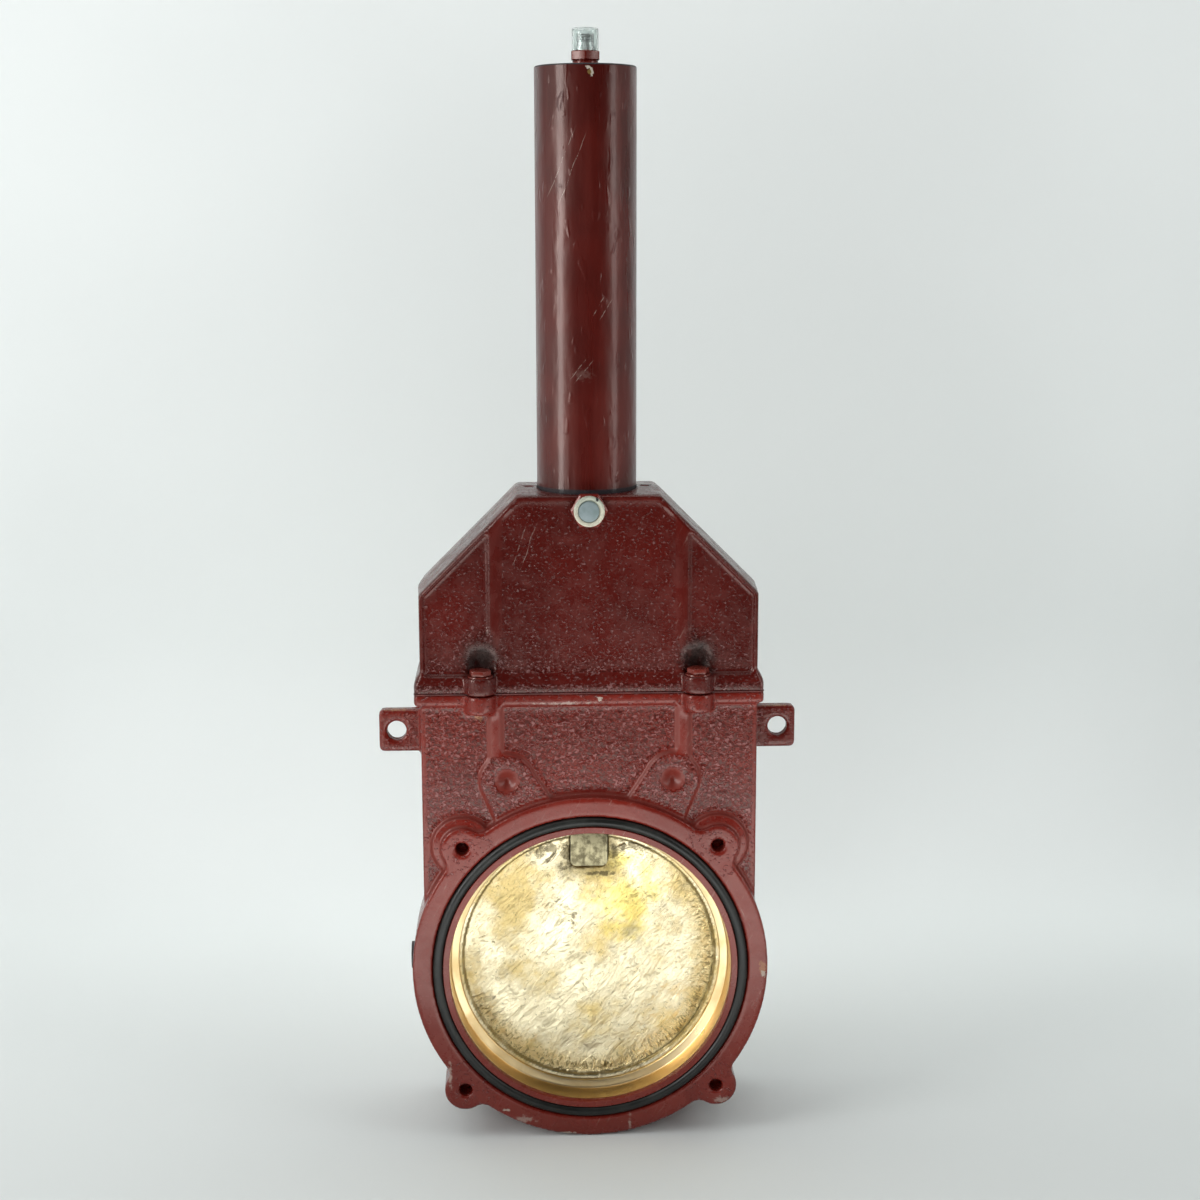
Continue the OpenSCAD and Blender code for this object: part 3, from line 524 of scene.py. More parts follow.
slotMaterials = {
    "cast_paint": trimPaint, "tube_paint": tubeCoat, "seat_brass": seatBrass, "gate_brass": gateBrass,
    "seal_rubber": sealRubber, "bright_steel": brightSteel, "clear_plastic": capPlastic,
    "grey_plastic": greyPlastic, "dark_plug": darkPlug, "guide_plastic": guidePlastic,
}
for part in frame["record"]["subparts"]:
    mesh = nodes[part["node"]].data
    mesh.materials.clear()
    mesh.materials.append(slotMaterials[part["material_slot"]])
nodes["piston_rod"].data.materials[0] = rodSteel
for painted in ("top_port_washer", "lower_port_washer"):
    nodes[painted].data.materials[0] = trimPaint
nodes["bonnet_gasket"].data.materials[0] = jointPaste


castings = {
    "frontVoxel": 1.4 * mm, "rearVoxel": 2.2 * mm, "smoothing": 3, "grainSize": 4.6 * mm,
    "grainHeight": 0.14 * mm, "insideKeep": 0.08, "overlap": 5 * mm, "shoulderSum": 0.41975,
    "scoopFoot": 0.2325, "scoopHeight": 0.024, "scoopHalf": 15 * mm, "scoopDepth": 9 * mm,
    "scoopZ": 0.244, "panelDepth": 39 * mm, "ribDepth": 42.5 * mm, "ribReach": 6.5 * mm,
    "ribX": (0.0620, 0.0785), "dimple": (0.0625, 0.148), "bossR": 12.5 * mm, "bonnetFoot": 0.2295,
    "rounds": {"scoop": 30, "bead": 6, "ribs": 8, "crest": 14, "walls": 4, "dimples": 7},
}
skin = {  # how sandy each face of the castings is; 0 is smooth and painted a little lighter as a highlight, and below 0 lies in fillets painted as shade
    "rounded": 0.12, "sides": 0.7, "level": 0.3, "smooth": 0.0, "bonnetFlange": 1.0, "scoop": 0.8,
    "bodyPanel": 1.3, "panelEdge": 0.15, "waist": 0.9, "flangeRim": 0.10, "ears": 0.08,
    "bodyFlange": 0.25, "flangeTop": 0.02, "fillet": -0.2, "boss": 0.10, "inside": 0.3, "tabs": 0.8,
}


def cutAcross(bm, y, side, dist):
    # takes away what lies beyond y on that side, and closes the cut
    bmesh.ops.bisect_plane(bm, geom=bm.verts[:] + bm.edges[:] + bm.faces[:], dist=dist, plane_co=(0, y, 0),
                           plane_no=(0, side, 0), clear_outer=True)
    rim = [edge for edge in bm.edges if edge.is_boundary]
    bmesh.ops.triangle_fill(bm, edges=rim, use_beauty=False, normal=(0, side, 0))


def remesh(obj, voxel, smoothing):
    skin = obj.modifiers.new("skin", "REMESH")
    skin.mode = "VOXEL"
    skin.voxel_size = voxel
    soften = obj.modifiers.new("soften", "SMOOTH")
    soften.factor = 0.5
    soften.iterations = smoothing
    return applyModifiers(obj)


def meshArrays(mesh):
    count = len(mesh.vertices)
    places = np.empty(count * 3, np.float32)
    normals = np.empty(count * 3, np.float32)
    mesh.vertices.foreach_get("co", places)
    mesh.vertex_normals.foreach_get("vector", normals)
    return places.reshape(-1, 3), normals.reshape(-1, 3)


def writeAttribute(mesh, name, values):
    attribute = mesh.attributes.new(name, "FLOAT", "POINT")
    attribute.data.foreach_set("value", values.astype(np.float32))


def castMask(places, normals, node):
    x, y, z = places.T
    x = np.abs(x)
    depth = np.abs(y - midY)  # 53 mm at the flange faces, 43 mm at the flat
    flat = np.abs(normals[:, 1]) > 0.93
    radius = np.hypot(x, z)
    mask = np.full(len(places), skin["rounded"])
    mask[np.abs(normals[:, 0]) > 0.93] = skin["sides"]
    mask[np.abs(normals[:, 2]) > 0.93] = skin["level"]
    if node == "bonnet_casting":
        above = z > castings["bonnetFoot"]
        panel = flat & (depth < 0.0420) & above
        mask[panel] = np.interp(z[panel], [0.23, 0.245, 0.29, 0.36], [1.00, 0.60, 0.25, 0.10])
        mask[flat & (depth > 0.0420) & above] = skin["smooth"]
        mask[(depth > 0.0440) & (z < 0.2225)] = skin["bonnetFlange"]
        scoop = np.hypot(x - valve["boltX"], z - castings["scoopZ"])
        mask[(scoop < 0.0205) & (depth > 0.029) & (depth < castings["ribDepth"]) & above] = skin["scoop"]
    else:
        mask[flat & (z > 0.05)] = skin["bodyPanel"]
        mask[flat & (x > 0.1225) & (x < 0.1285)] = skin["panelEdge"]
        mask[flat & (depth > 0.0455) & (z > 0.166)] = skin["smooth"]
        mask[flat & (depth < 0.020)] = skin["waist"]
        mask[(radius < 0.1375) & (depth > 0.0425)] = skin["flangeRim"]
        mask[depth > 0.0520] = skin["smooth"]
        mask[(radius < 0.122) & (depth > 0.03)] = skin["smooth"]
        ears = np.hypot(x - 0.097, np.abs(z) - 0.097)
        mask[(ears < 0.0245) & (depth > 0.0435)] = skin["ears"]
        mask[(z > 0.2055) & (depth > 0.0440)] = skin["bodyFlange"]
        top = (radius < 0.1400) & (radius > 0.1340) & (depth < 0.0515) & (depth > 0.0415) & (z > 0)
        mask[top] = skin["flangeTop"]
        fillets = ~flat & (depth > 0.0432) & (depth < 0.0512) & (z > 0.02) & (z < 0.204) & (x < 0.1225)
        mask[fillets] = skin["fillet"]
        dimple = np.hypot(x - castings["dimple"][0], z - castings["dimple"][1])
        mask[(dimple < 0.0092) & (depth > 0.040)] = skin["fillet"]
    boss = np.hypot(x - valve["boltX"], depth - 0.0442)
    mask[(boss < castings["bossR"]) & (z > 0.199) & (z < 0.231) & (depth > 0.041)] = skin["boss"]
    inside = (depth < 0.0315) & (x < 0.1195) & (z < 0.3335) & (radius > 0.1)
    mask[inside] = skin["inside"]
    mask[(x > 0.134) & flat] = skin["tabs"]
    return np.clip(mask, skin["fillet"], skin["bodyPanel"]), inside


def scoopOut(vert):
    # the hollow over each bolt runs out upward in a soft scoop, with no crisp arch
    side = -1 if vert.co.y < midY else 1
    x, z = abs(vert.co.x) - valve["boltX"], vert.co.z
    rise = (z - castings["scoopFoot"]) / castings["scoopHeight"]
    if rise < 0 or rise > 1 or abs(x) > castings["scoopHalf"]:
        return
    across = abs(x) / (castings["scoopHalf"] * math.sqrt(1.0001 - rise * rise))
    panel = castings["ribDepth"] if -castings["ribReach"] <= x <= 0 else castings["panelDepth"]
    bowl = 0 if across >= 1 else castings["scoopDepth"] * (1 - rise) ** 1.5 * (1 - across * across) ** 2
    vert.co.y = midY + side * max(abs(vert.co.y - midY), panel - bowl)


def soften(obj, node):
    # the moulder's radii: scooped hollows, the round back of the joint, ribs, pads and top edges
    groups = {name: [] for name in castings["rounds"]}
    ribIn, ribOut = castings["ribX"]
    dimpleX, dimpleZ = castings["dimple"]
    with editing(obj) as bm:
        for vert in bm.verts:
            x, y, z = abs(vert.co.x), vert.co.y, vert.co.z
            depth = abs(y - midY)
            if depth < 0.030 and x < 0.120:
                continue
            if node == "bonnet_casting":
                fromScoop = math.hypot(x - valve["boltX"], z - castings["scoopZ"])
                if z > 0.2300 and fromScoop < 0.0190 and depth > 0.029:
                    scoopOut(vert)
                    groups["scoop"].append(vert)
                clear = abs(x - valve["boltX"]) > castings["bossR"] and depth > 0.040
                if 0.2175 < z < 0.2330 and (clear or x > 0.1265):
                    groups["bead"].append(vert)
                if 0.2345 < z < 0.352 and ribIn < x < ribOut and depth > 0.036:
                    groups["ribs"].append(vert)
                slope = (castings["shoulderSum"] - x - z) / math.sqrt(2)
                if depth > 0.0380 and min(valve["topZ"] - z, slope) < 0.0045 and x < 0.1265:
                    groups["crest"].append(vert)
                elif depth > 0.0380 and valve["topZ"] - z < 0.0110 and x < 0.062:
                    edge = max(0.0, 1 - (valve["topZ"] - z - 0.004) / 0.007)  # the top rim dies into the panel
                    limit = 0.0415 + 0.0015 * min(1.0, edge)
                    if depth > limit:
                        vert.co.y = midY + math.copysign(limit, y - midY)
                    groups["crest"].append(vert)
                continue
            if 0.152 < z < 0.2055 and ribIn < x < ribOut and depth > 0.040:
                groups["ribs"].append(vert)
            if z > 0.02 and 0.0415 < depth < 0.0502 and z < 0.2045 and x < 0.121 and math.hypot(x, z) > 0.125:
                groups["walls"].append(vert)
            if math.hypot(x - dimpleX, z - dimpleZ) < 0.0098 and depth > 0.038:
                groups["dimples"].append(vert)
        allAxes = {"use_axis_x": True, "use_axis_y": True, "use_axis_z": True}
        for name, group in groups.items():
            for _ in range(castings["rounds"][name]):
                bmesh.ops.smooth_vert(bm, verts=group, factor=0.5, **allAxes)


def dressCasting(nodeName, name, front, material):
    # one side of the parting plane, with a little extra that is cut off after remeshing
    side = 1 if front else -1
    bm = mergedCopy(nodeName)
    cutAcross(bm, midY + side * castings["overlap"], side, 1e-6)
    obj = makeObject(bm, name)
    remesh(obj, castings["frontVoxel" if front else "rearVoxel"], castings["smoothing"])
    with editing(obj) as bm:
        cutAcross(bm, midY, side, 1e-7)
    soften(obj, nodeName)
    places, normals = meshArrays(obj.data)
    mask, inside = castMask(places, normals, nodeName)
    onCut = np.abs(places[:, 1] - midY) < 0.3 * mm
    grainGroup = obj.vertex_groups.new(name="grain")
    thinGroup = obj.vertex_groups.new(name="inside")
    weights = np.where(onCut, 0, np.clip(mask, 0, 1))
    for level in range(1, 11):  # ten steps of weight are enough
        members = np.nonzero(np.round(weights * 10) == level)[0]
        if len(members):
            grainGroup.add(members.tolist(), level / 10, "REPLACE")
    thinGroup.add(np.nonzero(inside & ~onCut)[0].tolist(), 1.0, "REPLACE")
    texture = bpy.data.textures.new("castGrain", "CLOUDS")
    texture.noise_scale = castings["grainSize"]
    texture.noise_depth = 1
    grain = obj.modifiers.new("grain", "DISPLACE")
    grain.texture = texture
    grain.texture_coords = "LOCAL"
    grain.mid_level = 0.5
    grain.strength = castings["grainHeight"]
    grain.vertex_group = "grain"
    writeAttribute(obj.data, "cast", mask)
    thin = obj.modifiers.new("thin", "DECIMATE")
    thin.ratio = 1 - (1 - castings["insideKeep"]) * float(inside.mean())
    thin.vertex_group = "inside"
    thin.vertex_group_factor = 10
    applyModifiers(obj)
    print(name, "has", sum(len(poly.vertices) - 2 for poly in obj.data.polygons), "triangles")
    return settle(obj, material, "valve")


for node, piece, material in (("body_casting", "bodyCasting", bodyPaint),
                              ("bonnet_casting", "bonnetCasting", bonnetPaint)):
    for end in ("Front", "Rear"):
        half = dressCasting(node, piece + end, end == "Front", material)
        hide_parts(node)
print("castings dressed")


boltSet = {"acrossFlats": 15 * mm, "headHeight": 4.4 * mm, "washerR": 9.6 * mm, "washerT": 0.9 * mm,
           "shankR": 4 * mm, "shankLength": 24 * mm, "turns": (12, 35, 50, 5)}


def addBar(bm, sides, radius, foot, top, topRadius=None):
    verts = bmesh.ops.create_cone(bm, cap_ends=True, segments=sides, radius1=radius, radius2=topRadius or radius,
                                  depth=top - foot)["verts"]
    shift(bm, (0, 0, (foot + top) / 2), verts)
    return verts


def jointBolt(name, x, y, degrees):
    bm = bmesh.new()
    washerR, washerTop = boltSet["washerR"], boltSet["washerT"]
    head = addBar(bm, 6, boltSet["acrossFlats"] / math.sqrt(3), washerTop, washerTop + boltSet["headHeight"])
    edges = list({edge for vert in head for edge in vert.link_edges})
    bevelEdges(bm, edges, 0.8 * mm)
    addBar(bm, 48, washerR, 0, washerTop, washerR - 0.3 * mm)
    addBar(bm, 24, boltSet["shankR"], -boltSet["shankLength"], 0)
    turn(bm, degrees, "Z")
    shift(bm, (x, y, valve["bonnetFlangeTop"]))
    settle(makeObject(bm, name), boltPaint, "valve", 30)


boltPlaces = [(x, y) for y in (valve["flatFront"] - valve["boltOut"], valve["flatRear"] + valve["boltOut"])
              for x in (-valve["boltX"], valve["boltX"])]
for index, (place, degrees) in enumerate(zip(boltPlaces, boltSet["turns"])):
    jointBolt("jointBolt%d" % (index + 1), *place, degrees)
print("bolts made")


portSet = {
    "topHex": 20.5 * mm, "topHexFoot": 0.677, "topHexTop": 0.684, "topTurn": 29, "neckR": 9.5 * mm,
    "studR": 6.7 * mm, "studTop": 0.6965, "threadPitch": 1.5 * mm, "threadDepth": 0.45 * mm,
    "capR": 9.7 * mm, "capWall": 1.1 * mm, "capTop": 0.700,
    "lowHex": 24 * mm, "lowHexBack": -0.096, "lowHexFront": -0.104, "plugR": 11.45 * mm, "discR": 8.0 * mm,
}


def hexBar(acrossFlats, length, chamfer):
    # a chamfered hexagon standing on the origin, corners on the x axis
    bm = bmesh.new()
    half = length / 2 - 0.6 * chamfer
    addBar(bm, 6, acrossFlats / math.sqrt(3), -half, half)
    turn(bm, 30, "Z")
    for cap in [face for face in bm.faces if abs(face.normal.z) > 0.9]:
        bmesh.ops.inset_region(bm, faces=[cap], thickness=chamfer, depth=0.6 * chamfer)
    edges = [edge for edge in bm.edges if abs(edge.verts[0].co.z - edge.verts[1].co.z) > 0.6 * length]
    bevelEdges(bm, edges, 0.7 * mm)
    shift(bm, (0, 0, length / 2))
    return bm


def cylinderTube():
    r, top, foot = valve["tubeR"], valve["tubeTop"], valve["tubeFoot"]
    bore = valve["tubeBoreR"]
    profile = [(bore, foot), (r, foot), (r, top - 1.2 * mm), (r - 0.3 * mm, top - 0.5 * mm), (r - 0.9 * mm, top),
               (bore + 0.5 * mm, top), (bore, top - 0.5 * mm), (bore, foot)]
    obj = lathe("cylinderTube", profile, (0, midY, 0), 144)
    settle(obj, tubeCoat, "valve", 50)
    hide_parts("cylinder_tube")


def topPort():
    centre = (0, midY, 0)
    hexFoot, hexTop = portSet["topHexFoot"], portSet["topHexTop"]
    bm = hexBar(portSet["topHex"], hexTop - hexFoot, 1.3 * mm)
    turn(bm, portSet["topTurn"], "Z")
    shift(bm, (0, midY, hexFoot))
    obj = makeObject(bm, "topHex")
    settle(obj, trimPaint, "valve", 30)
    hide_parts("top_port_adapter")

    neckR, neckTop = portSet["neckR"], hexFoot + 0.5 * mm
    profile = [(0, 0.6735), (neckR - 1 * mm, 0.6735), (neckR, 0.6742), (neckR, 0.6762),
               (neckR - 0.6 * mm, 0.6768), (neckR - 0.6 * mm, neckTop), (0, neckTop)]
    neck = lathe("topNeck", profile, centre, 64)
    settle(neck, trimPaint, "valve", 40)

    studR, top, pitch = portSet["studR"], portSet["studTop"], portSet["threadPitch"]
    rootR = studR - portSet["threadDepth"]
    profile = [(0, 0.6870), (4.2 * mm, 0.6870), (4.2 * mm, top), (studR - 0.9 * mm, top)]
    turns = int((top - 0.0008 - 0.6885) / pitch)
    for k in range(turns):  # thread rings from the top down
        z = top - 0.0008 - k * pitch
        profile += [(studR, z), (studR, z - 0.3 * pitch), (rootR, z - 0.65 * pitch)]
    profile += [(rootR, 0.6875), (studR + 0.5 * mm, 0.6872), (studR + 0.5 * mm, hexTop), (0, hexTop)]
    stud = lathe("topStud", profile, centre, 64)
    settle(stud, studSteel, "valve", 35)

    r, wall, capTop = portSet["capR"], portSet["capWall"], portSet["capTop"]
    profile = [(0, capTop - 1.4 * mm), (r - wall - 0.6 * mm, capTop - 1.4 * mm), (r - wall, capTop - 2.0 * mm),
               (r - wall, hexTop), (r, hexTop), (r, capTop - 1.2 * mm), (r - 0.35 * mm, capTop - 0.4 * mm),
               (r - 1.2 * mm, capTop), (0, capTop)]
    cap = lathe("topCap", profile, centre)
    settle(cap, capPlastic, "valve", 50)
    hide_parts("top_port_cap")


def lowerPort():
    back, front, z = portSet["lowHexBack"], portSet["lowHexFront"], valve["portZ"]
    bm = hexBar(portSet["lowHex"], back - front, 1.5 * mm)
    turn(bm, 90, "X")
    shift(bm, (0, back, z))
    obj = makeObject(bm, "lowerHex")
    settle(obj, trimPaint, "valve", 30)
    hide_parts("lower_port_adapter")

    r, disc = portSet["plugR"], portSet["discR"]
    profile = [(0, 0), (r - 0.6 * mm, 0), (r, 0.6 * mm), (r, 2.3 * mm), (r - 0.4 * mm, 2.85 * mm),
               (r - 1.1 * mm, 3.0 * mm), (disc + 1.0 * mm, 2.75 * mm), (disc + 0.4 * mm, 2.3 * mm),
               (disc + 0.3 * mm, 0.9 * mm), (0, 0.9 * mm)]
    ring = lathe("plugRing", profile, (0, front, z), 96, True)
    settle(ring, plugRim, "valve", 50)
    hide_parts("lower_port_plug")
    profile = [(0, 2.15 * mm), (disc - 1.2 * mm, 2.1 * mm), (disc - 0.4 * mm, 1.8 * mm), (disc, 1.2 * mm),
               (disc, 0.9 * mm), (0, 0.9 * mm)]
    inner = lathe("plugDisc", profile, (-0.3 * mm, front, z - 0.3 * mm), 64, True)
    settle(inner, plugCentre, "valve", 50)


cylinderTube()
topPort()
lowerPort()
print("tube and ports made")


seatSet = {
    "mouthR": 107.6 * mm, "noseR": 101.0 * mm, "ringFront": -0.1004, "noseFront": -0.0822, "ringBack": -0.0790,
    "outerR": 108.4 * mm, "lipOuterR": 112.9 * mm, "lipFace": -0.1060, "lipInnerR": 107.9 * mm,
}


def boreRing(name, profile, side):
    # a ring round the bore from the (radius, y) pairs of the front one; the rear one is its mirror
    obj = lathe(name, [(r, midY - y) for r, y in profile], (0, midY, 0), 192, True)
    if side > 0:
        with editing(obj) as bm:
            bmesh.ops.scale(bm, vec=(1, -1, 1), verts=bm.verts, space=Matrix.Translation((0, -midY, 0)))
            bmesh.ops.recalc_face_normals(bm, faces=bm.faces)
    return obj


def seatAndLip(name, side):
    # the brass seat seen down the mouth, and the painted lip between it and the O-ring's groove
    rim, mouth, nose = seatSet["outerR"], seatSet["mouthR"], seatSet["noseR"]
    front, step, back = seatSet["ringFront"], seatSet["noseFront"], seatSet["ringBack"]
    ring = boreRing(name + "SeatRing", [
        (rim, back), (rim, front), (mouth + 0.1 * mm, front), (mouth, front + 0.2 * mm), (mouth, front + 0.8 * mm),
        (mouth, step - 2.4 * mm), (mouth, step - 1.4 * mm), (mouth - 0.4 * mm, step - 0.35 * mm),
        (mouth - 1.3 * mm, step), (nose + 0.9 * mm, step + 0.4 * mm), (nose + 0.2 * mm, step + 0.8 * mm),
        (nose, step + 1.6 * mm), (nose, back), (rim, back)], side)
    inner, outer, face = seatSet["lipInnerR"], seatSet["lipOuterR"], seatSet["lipFace"]
    lip = boreRing(name + "GrooveLip", [
        (inner, front), (inner, face + 0.7 * mm), (inner + 0.5 * mm, face), (outer - 0.4 * mm, face),
        (outer, face + 0.5 * mm), (outer, front), (inner, front)], side)
    settle(ring, seatBrass, "valve", 50)
    settle(lip, bodyPaint, "valve", 50)
    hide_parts(name + "_seat_ring", name + "_seat_seal")  # its seal is out of sight


seatAndLip("front", -1)
seatAndLip("rear", 1)


tongueSet = {"low": (-0.01425, -0.0742, 0.0723), "high": (0.01425, -0.0625, 0.1055), "corner": 3.6 * mm}


def rodAndBlock():
    # the rod, and a tongue on its block that fills the pocket up to the gate's face
    bm = mergedCopy("piston_rod")
    low, high = Vector(tongueSet["low"]), Vector(tongueSet["high"])
    verts = bmesh.ops.create_cube(bm, size=1)["verts"]
    bmesh.ops.scale(bm, vec=high - low, verts=verts)
    shift(bm, (high + low) / 2, verts)
    corners = {edge for vert in verts for edge in vert.link_edges
               if vert.co.z < 0.08 and abs(edge.verts[0].co.y - edge.verts[1].co.y) > 1 * mm}
    bevelEdges(bm, list(corners), tongueSet["corner"], 5)
    obj = makeObject(bm, "rodAndBlock")
    edges = obj.modifiers.new("edges", "BEVEL")
    edges.width = 0.9 * mm
    edges.segments = 3
    edges.limit_method = "ANGLE"
    edges.angle_limit = math.radians(50)
    applyModifiers(obj)
    settle(obj, rodSteel, "gate_train", 40)
    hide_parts("piston_rod")


rodAndBlock()
print("seats and rod made")


gateSet = {"voxel": 1.3 * mm, "recessR": 0.098, "recessDepth": (0.0205, 0.0228), "pocketFoot": 0.072,
           "pocketHalf": 14.5 * mm, "dirtReach": 13 * mm, "face": 0.04, "sides": 0.85}


def relief(x, z):
    # height of the rough casting on the gate's recessed face, in millimetres
    point = Vector((x, 0, z))
    waves = noise.fractal(point * 34, 1.0, 2.0, 4) * 1.15
    leaning = x * 0.77 + z * 0.64  # shallow ridges that lean to the right
    across = z * 0.77 - x * 0.64
    ripple = noise.noise(Vector((leaning * 45, across * 170, 3.1))) * 0.34
    return waves + ripple


def chatterAt(x, z):
    # where the rim of the recess is torn by the cutter: low left round to the right
    radius = math.hypot(x, z)
    angle = math.degrees(math.atan2(z, x))
    ring = max(0.0, min(1.0, (radius - 0.079) / 0.012))
    if angle > 90 or angle < -160:
        sweep = 0.15
    else:
        sweep = 1.0 if angle < 25 else max(0.15, 1 - (angle - 25) / 40)
    return ring * sweep


def dressGate():
    low, high = gateSet["recessDepth"]
    obj = makeObject(mergedCopy("gate"), "gateDisc")
    remesh(obj, gateSet["voxel"], 2)
    places, normals = meshArrays(obj.data)
    tarnishAndShade = np.zeros(len(places))
    chatter = np.zeros(len(places))
    for i, ((x, y, z), normal) in enumerate(zip(places.tolist(), normals.tolist())):
        radius = math.hypot(x, z)
        depth = abs(y - midY)
        if abs(normal[1]) > 0.8 and radius < gateSet["recessR"] and low < depth < high:
            side = -1 if y < midY else 1
            fade = min(1.0, max(0.0, (gateSet["recessR"] - radius) / (4 * mm)))
            torn = chatterAt(-x * side, z)
            teeth = noise.noise(Vector((math.atan2(z, x) * 27, radius * 22, 7.7))) * 0.5 * torn
            height = relief(-x * side, z) + teeth
            places[i][1] += side * max(-1.3, min(1.3, height)) * mm * fade
            pocket = math.hypot(max(abs(x) - gateSet["pocketHalf"], 0), max(gateSet["pocketFoot"] - z, 0))
            near = max(0.0, 1 - pocket / gateSet["dirtReach"]) if side < 0 else 0
            # painted shade: the low places of the relief are painted darker
            reliefHollowShade = max(0.0, -height - 0.45) * 0.9
            angle = math.degrees(math.atan2(z, x))
            # painted shadow: a dark band round the rim of the recess, widest at the right, where the gap between
            # seat and gate lies in shadow
            wide = 0.0010 + 0.0020 * max(0.0, math.cos(math.radians(angle + 10)))  # widest at the right
            edge = 0.9 * min(1.0, max(0.0, (radius - (0.0978 - wide)) / 0.0015))
            tarnishAndShade[i] = min(1.0, near * 0.85 + reliefHollowShade + edge)
            chatter[i] = torn
        elif radius > gateSet["recessR"] + 1 * mm and abs(normal[1]) > 0.8:
            tarnishAndShade[i] = gateSet["face"]
        else:
            tarnishAndShade[i] = gateSet["sides"]
    obj.data.vertices.foreach_set("co", places.reshape(-1))
    writeAttribute(obj.data, "tarnishAndShade", tarnishAndShade)
    writeAttribute(obj.data, "chatter", chatter)
    obj.data.update()
    print("gate has", 2 * len(obj.data.polygons), "triangles")
    settle(obj, gateBrass, "gate_train")
    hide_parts("gate")


dressGate()
print("gate dressed")


stageSet = {"floorZ": -0.1362, "wallY": 0.62, "bend": 0.25, "width": 2.6, "front": -1.25, "height": 2.4,
            "colour": (0.64, 0.666, 0.657), "wallColour": (0.93, 0.97, 0.96)}


def backdrop():
    bm = bmesh.new()
    z0, y1, r = stageSet["floorZ"], stageSet["wallY"], stageSet["bend"]
    outline = [(0, stageSet["front"], z0), (0, y1 - r, z0)]
    outline += [(0, y1 - r + r * math.sin(a), z0 + r - r * math.cos(a))
                for a in (math.radians(7.5 * k) for k in range(1, 12))]
    outline += [(0, y1, z0 + r), (0, y1, stageSet["height"])]
    verts = [bm.verts.new(point) for point in outline]
    edges = [bm.edges.new(pair) for pair in zip(verts, verts[1:])]
    shift(bm, (-stageSet["width"], 0, 0), verts)
    swept = bmesh.ops.extrude_edge_only(bm, edges=edges)["geom"]
    moved = [item for item in swept if isinstance(item, bmesh.types.BMVert)]
    shift(bm, (2 * stageSet["width"], 0, 0), moved)
    bm.normal_update()
    bmesh.ops.reverse_faces(bm, faces=[face for face in bm.faces if face.normal.z - face.normal.y < 0])
    obj = makeObject(bm, "studioFloor")
    n = newMaterial("studioPaper")
    cloud = n.noise(n.coords(), 1.2, 2.0)
    # painted light: the paper is painted lighter towards the wall and darker towards the front, for light falling
    # off across the floor
    back = n.remap(n.axes(n.coords())[1], -0.25, 0.45)
    tint = n.mix(back, stageSet["colour"], stageSet["wallColour"])
    tint = n.mix(n.remap(cloud, 0.3, 0.7, 0.0, 0.3), tint, stageSet["colour"])
    obj.data.materials.append(n.surface(tint, 0.9, None, {"Specular IOR Level": 0.1}))
    # nothing is seen of the paper from behind, so the back of the valve can be looked at
    choice = n.add("MixShader")
    n.link(n.add("NewGeometry").outputs["Backfacing"], choice.inputs[0])
    n.link(n.tree.nodes["Principled BSDF"].outputs[0], choice.inputs[1])
    n.link(n.add("BsdfTransparent").outputs[0], choice.inputs[2])
    n.link(choice.outputs[0], n.tree.nodes["Material Output"].inputs["Surface"])


backdrop()

cameraSet = {"place": (-0.0518, -1.5555, 0.5627), "yaw": 2.35, "pitch": 10.74, "roll": 0.13, "lens": 60.0}
camera = bpy.data.objects.new("camera", bpy.data.cameras.new("camera"))
camera.data.lens = cameraSet["lens"]
camera.data.sensor_width = 36
camera.data.sensor_fit = "HORIZONTAL"
camera.data.clip_start = 0.05
camera.data.clip_end = 30
bpy.context.scene.collection.objects.link(camera)
aim = (Matrix.Rotation(math.radians(-cameraSet["yaw"]), 4, "Z")
       @ Matrix.Rotation(math.radians(90 - cameraSet["pitch"]), 4, "X")
       @ Matrix.Rotation(math.radians(-cameraSet["roll"]), 4, "Z"))
camera.matrix_world = Matrix.Translation(cameraSet["place"]) @ aim
bpy.context.scene.camera = camera

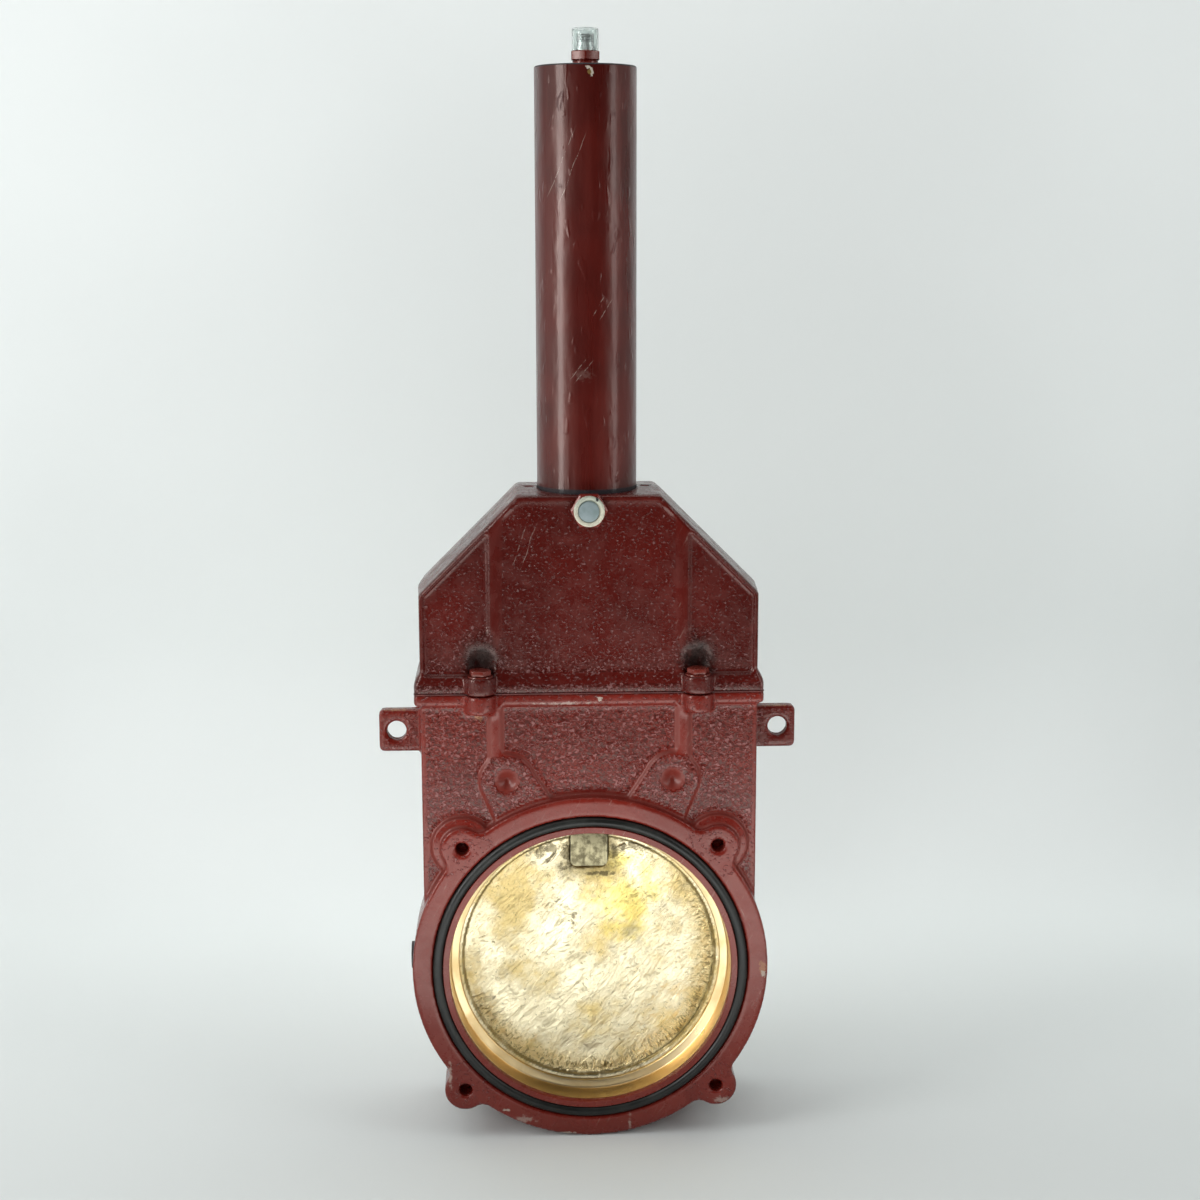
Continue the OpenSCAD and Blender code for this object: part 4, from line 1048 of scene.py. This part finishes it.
lampSet = {
    "left": {"place": (-1.55, -0.85, 0.78), "size": (0.46, 1.5), "power": 24, "sheenOnly": True},
    "right": {"place": (1.60, -0.80, 0.74), "size": (0.36, 1.4), "power": 8, "sheenOnly": True},
    "leftFill": {"place": (-1.60, -0.85, 1.00), "size": (0.9, 1.4), "power": 15, "diffuseOnly": True},
    "rightFill": {"place": (1.60, -0.80, 0.95), "size": (0.9, 1.4), "power": 8, "diffuseOnly": True},
    "frontFill": {"place": (-0.60, -2.20, 1.00), "size": (2.0, 1.2), "power": 15, "diffuseOnly": True},
    "top": {"place": (-0.1, 0.15, 2.0), "size": (2.2, 1.2), "power": 12.5},
    "floor": {"place": (-0.05, -0.70, -0.128), "size": (1.5, 0.70), "power": 9.5, "aim": (-0.05, -0.70, 1.0)},
}
for name, values in lampSet.items():
    light = bpy.data.lights.new(name + "Softbox", "AREA")
    light.shape = "RECTANGLE"
    light.size, light.size_y = values["size"]
    light.energy = values["power"]
    lamp = bpy.data.objects.new(name + "Softbox", light)
    lamp.location = values["place"]
    target = Vector(values.get("aim", (0, -0.05, 0.15)))
    lamp.rotation_euler = (target - lamp.location).to_track_quat("-Z", "Y").to_euler()
    lamp.visible_camera = False
    lamp.visible_diffuse = not values.get("sheenOnly", False)  # the strips only draw highlights
    lamp.visible_glossy = not values.get("diffuseOnly", False)
    bpy.context.scene.collection.objects.link(lamp)

worldSet = {"pale": (0.86, 0.90, 0.89), "dim": (0.026, 0.025, 0.024), "strength": 1.04}
world = bpy.data.worlds.new("studio")
bpy.context.scene.world = world
n = Nodes(world)
across, forward, _ = n.axes(n.add("TexCoord").outputs["Generated"])
behind = n.remap(forward, -0.45, 0.15)  # the side of the room that holds the camera is dark
around = n.mix(behind, worldSet["dim"], worldSet["pale"])
shade = n.remap(across, 0.15, 0.85, 0.0, 0.45)  # and its right side is in half shade
around = n.mix(shade, around, worldSet["dim"])
seen = n.add("LightPath").outputs["Is Camera Ray"]
background = n.tree.nodes["Background"]
n.link(n.mix(seen, around, worldSet["pale"]), background.inputs["Color"])
background.inputs["Strength"].default_value = worldSet["strength"]

bpy.context.scene.view_settings.view_transform = "Standard"
print("stage, camera and light set")
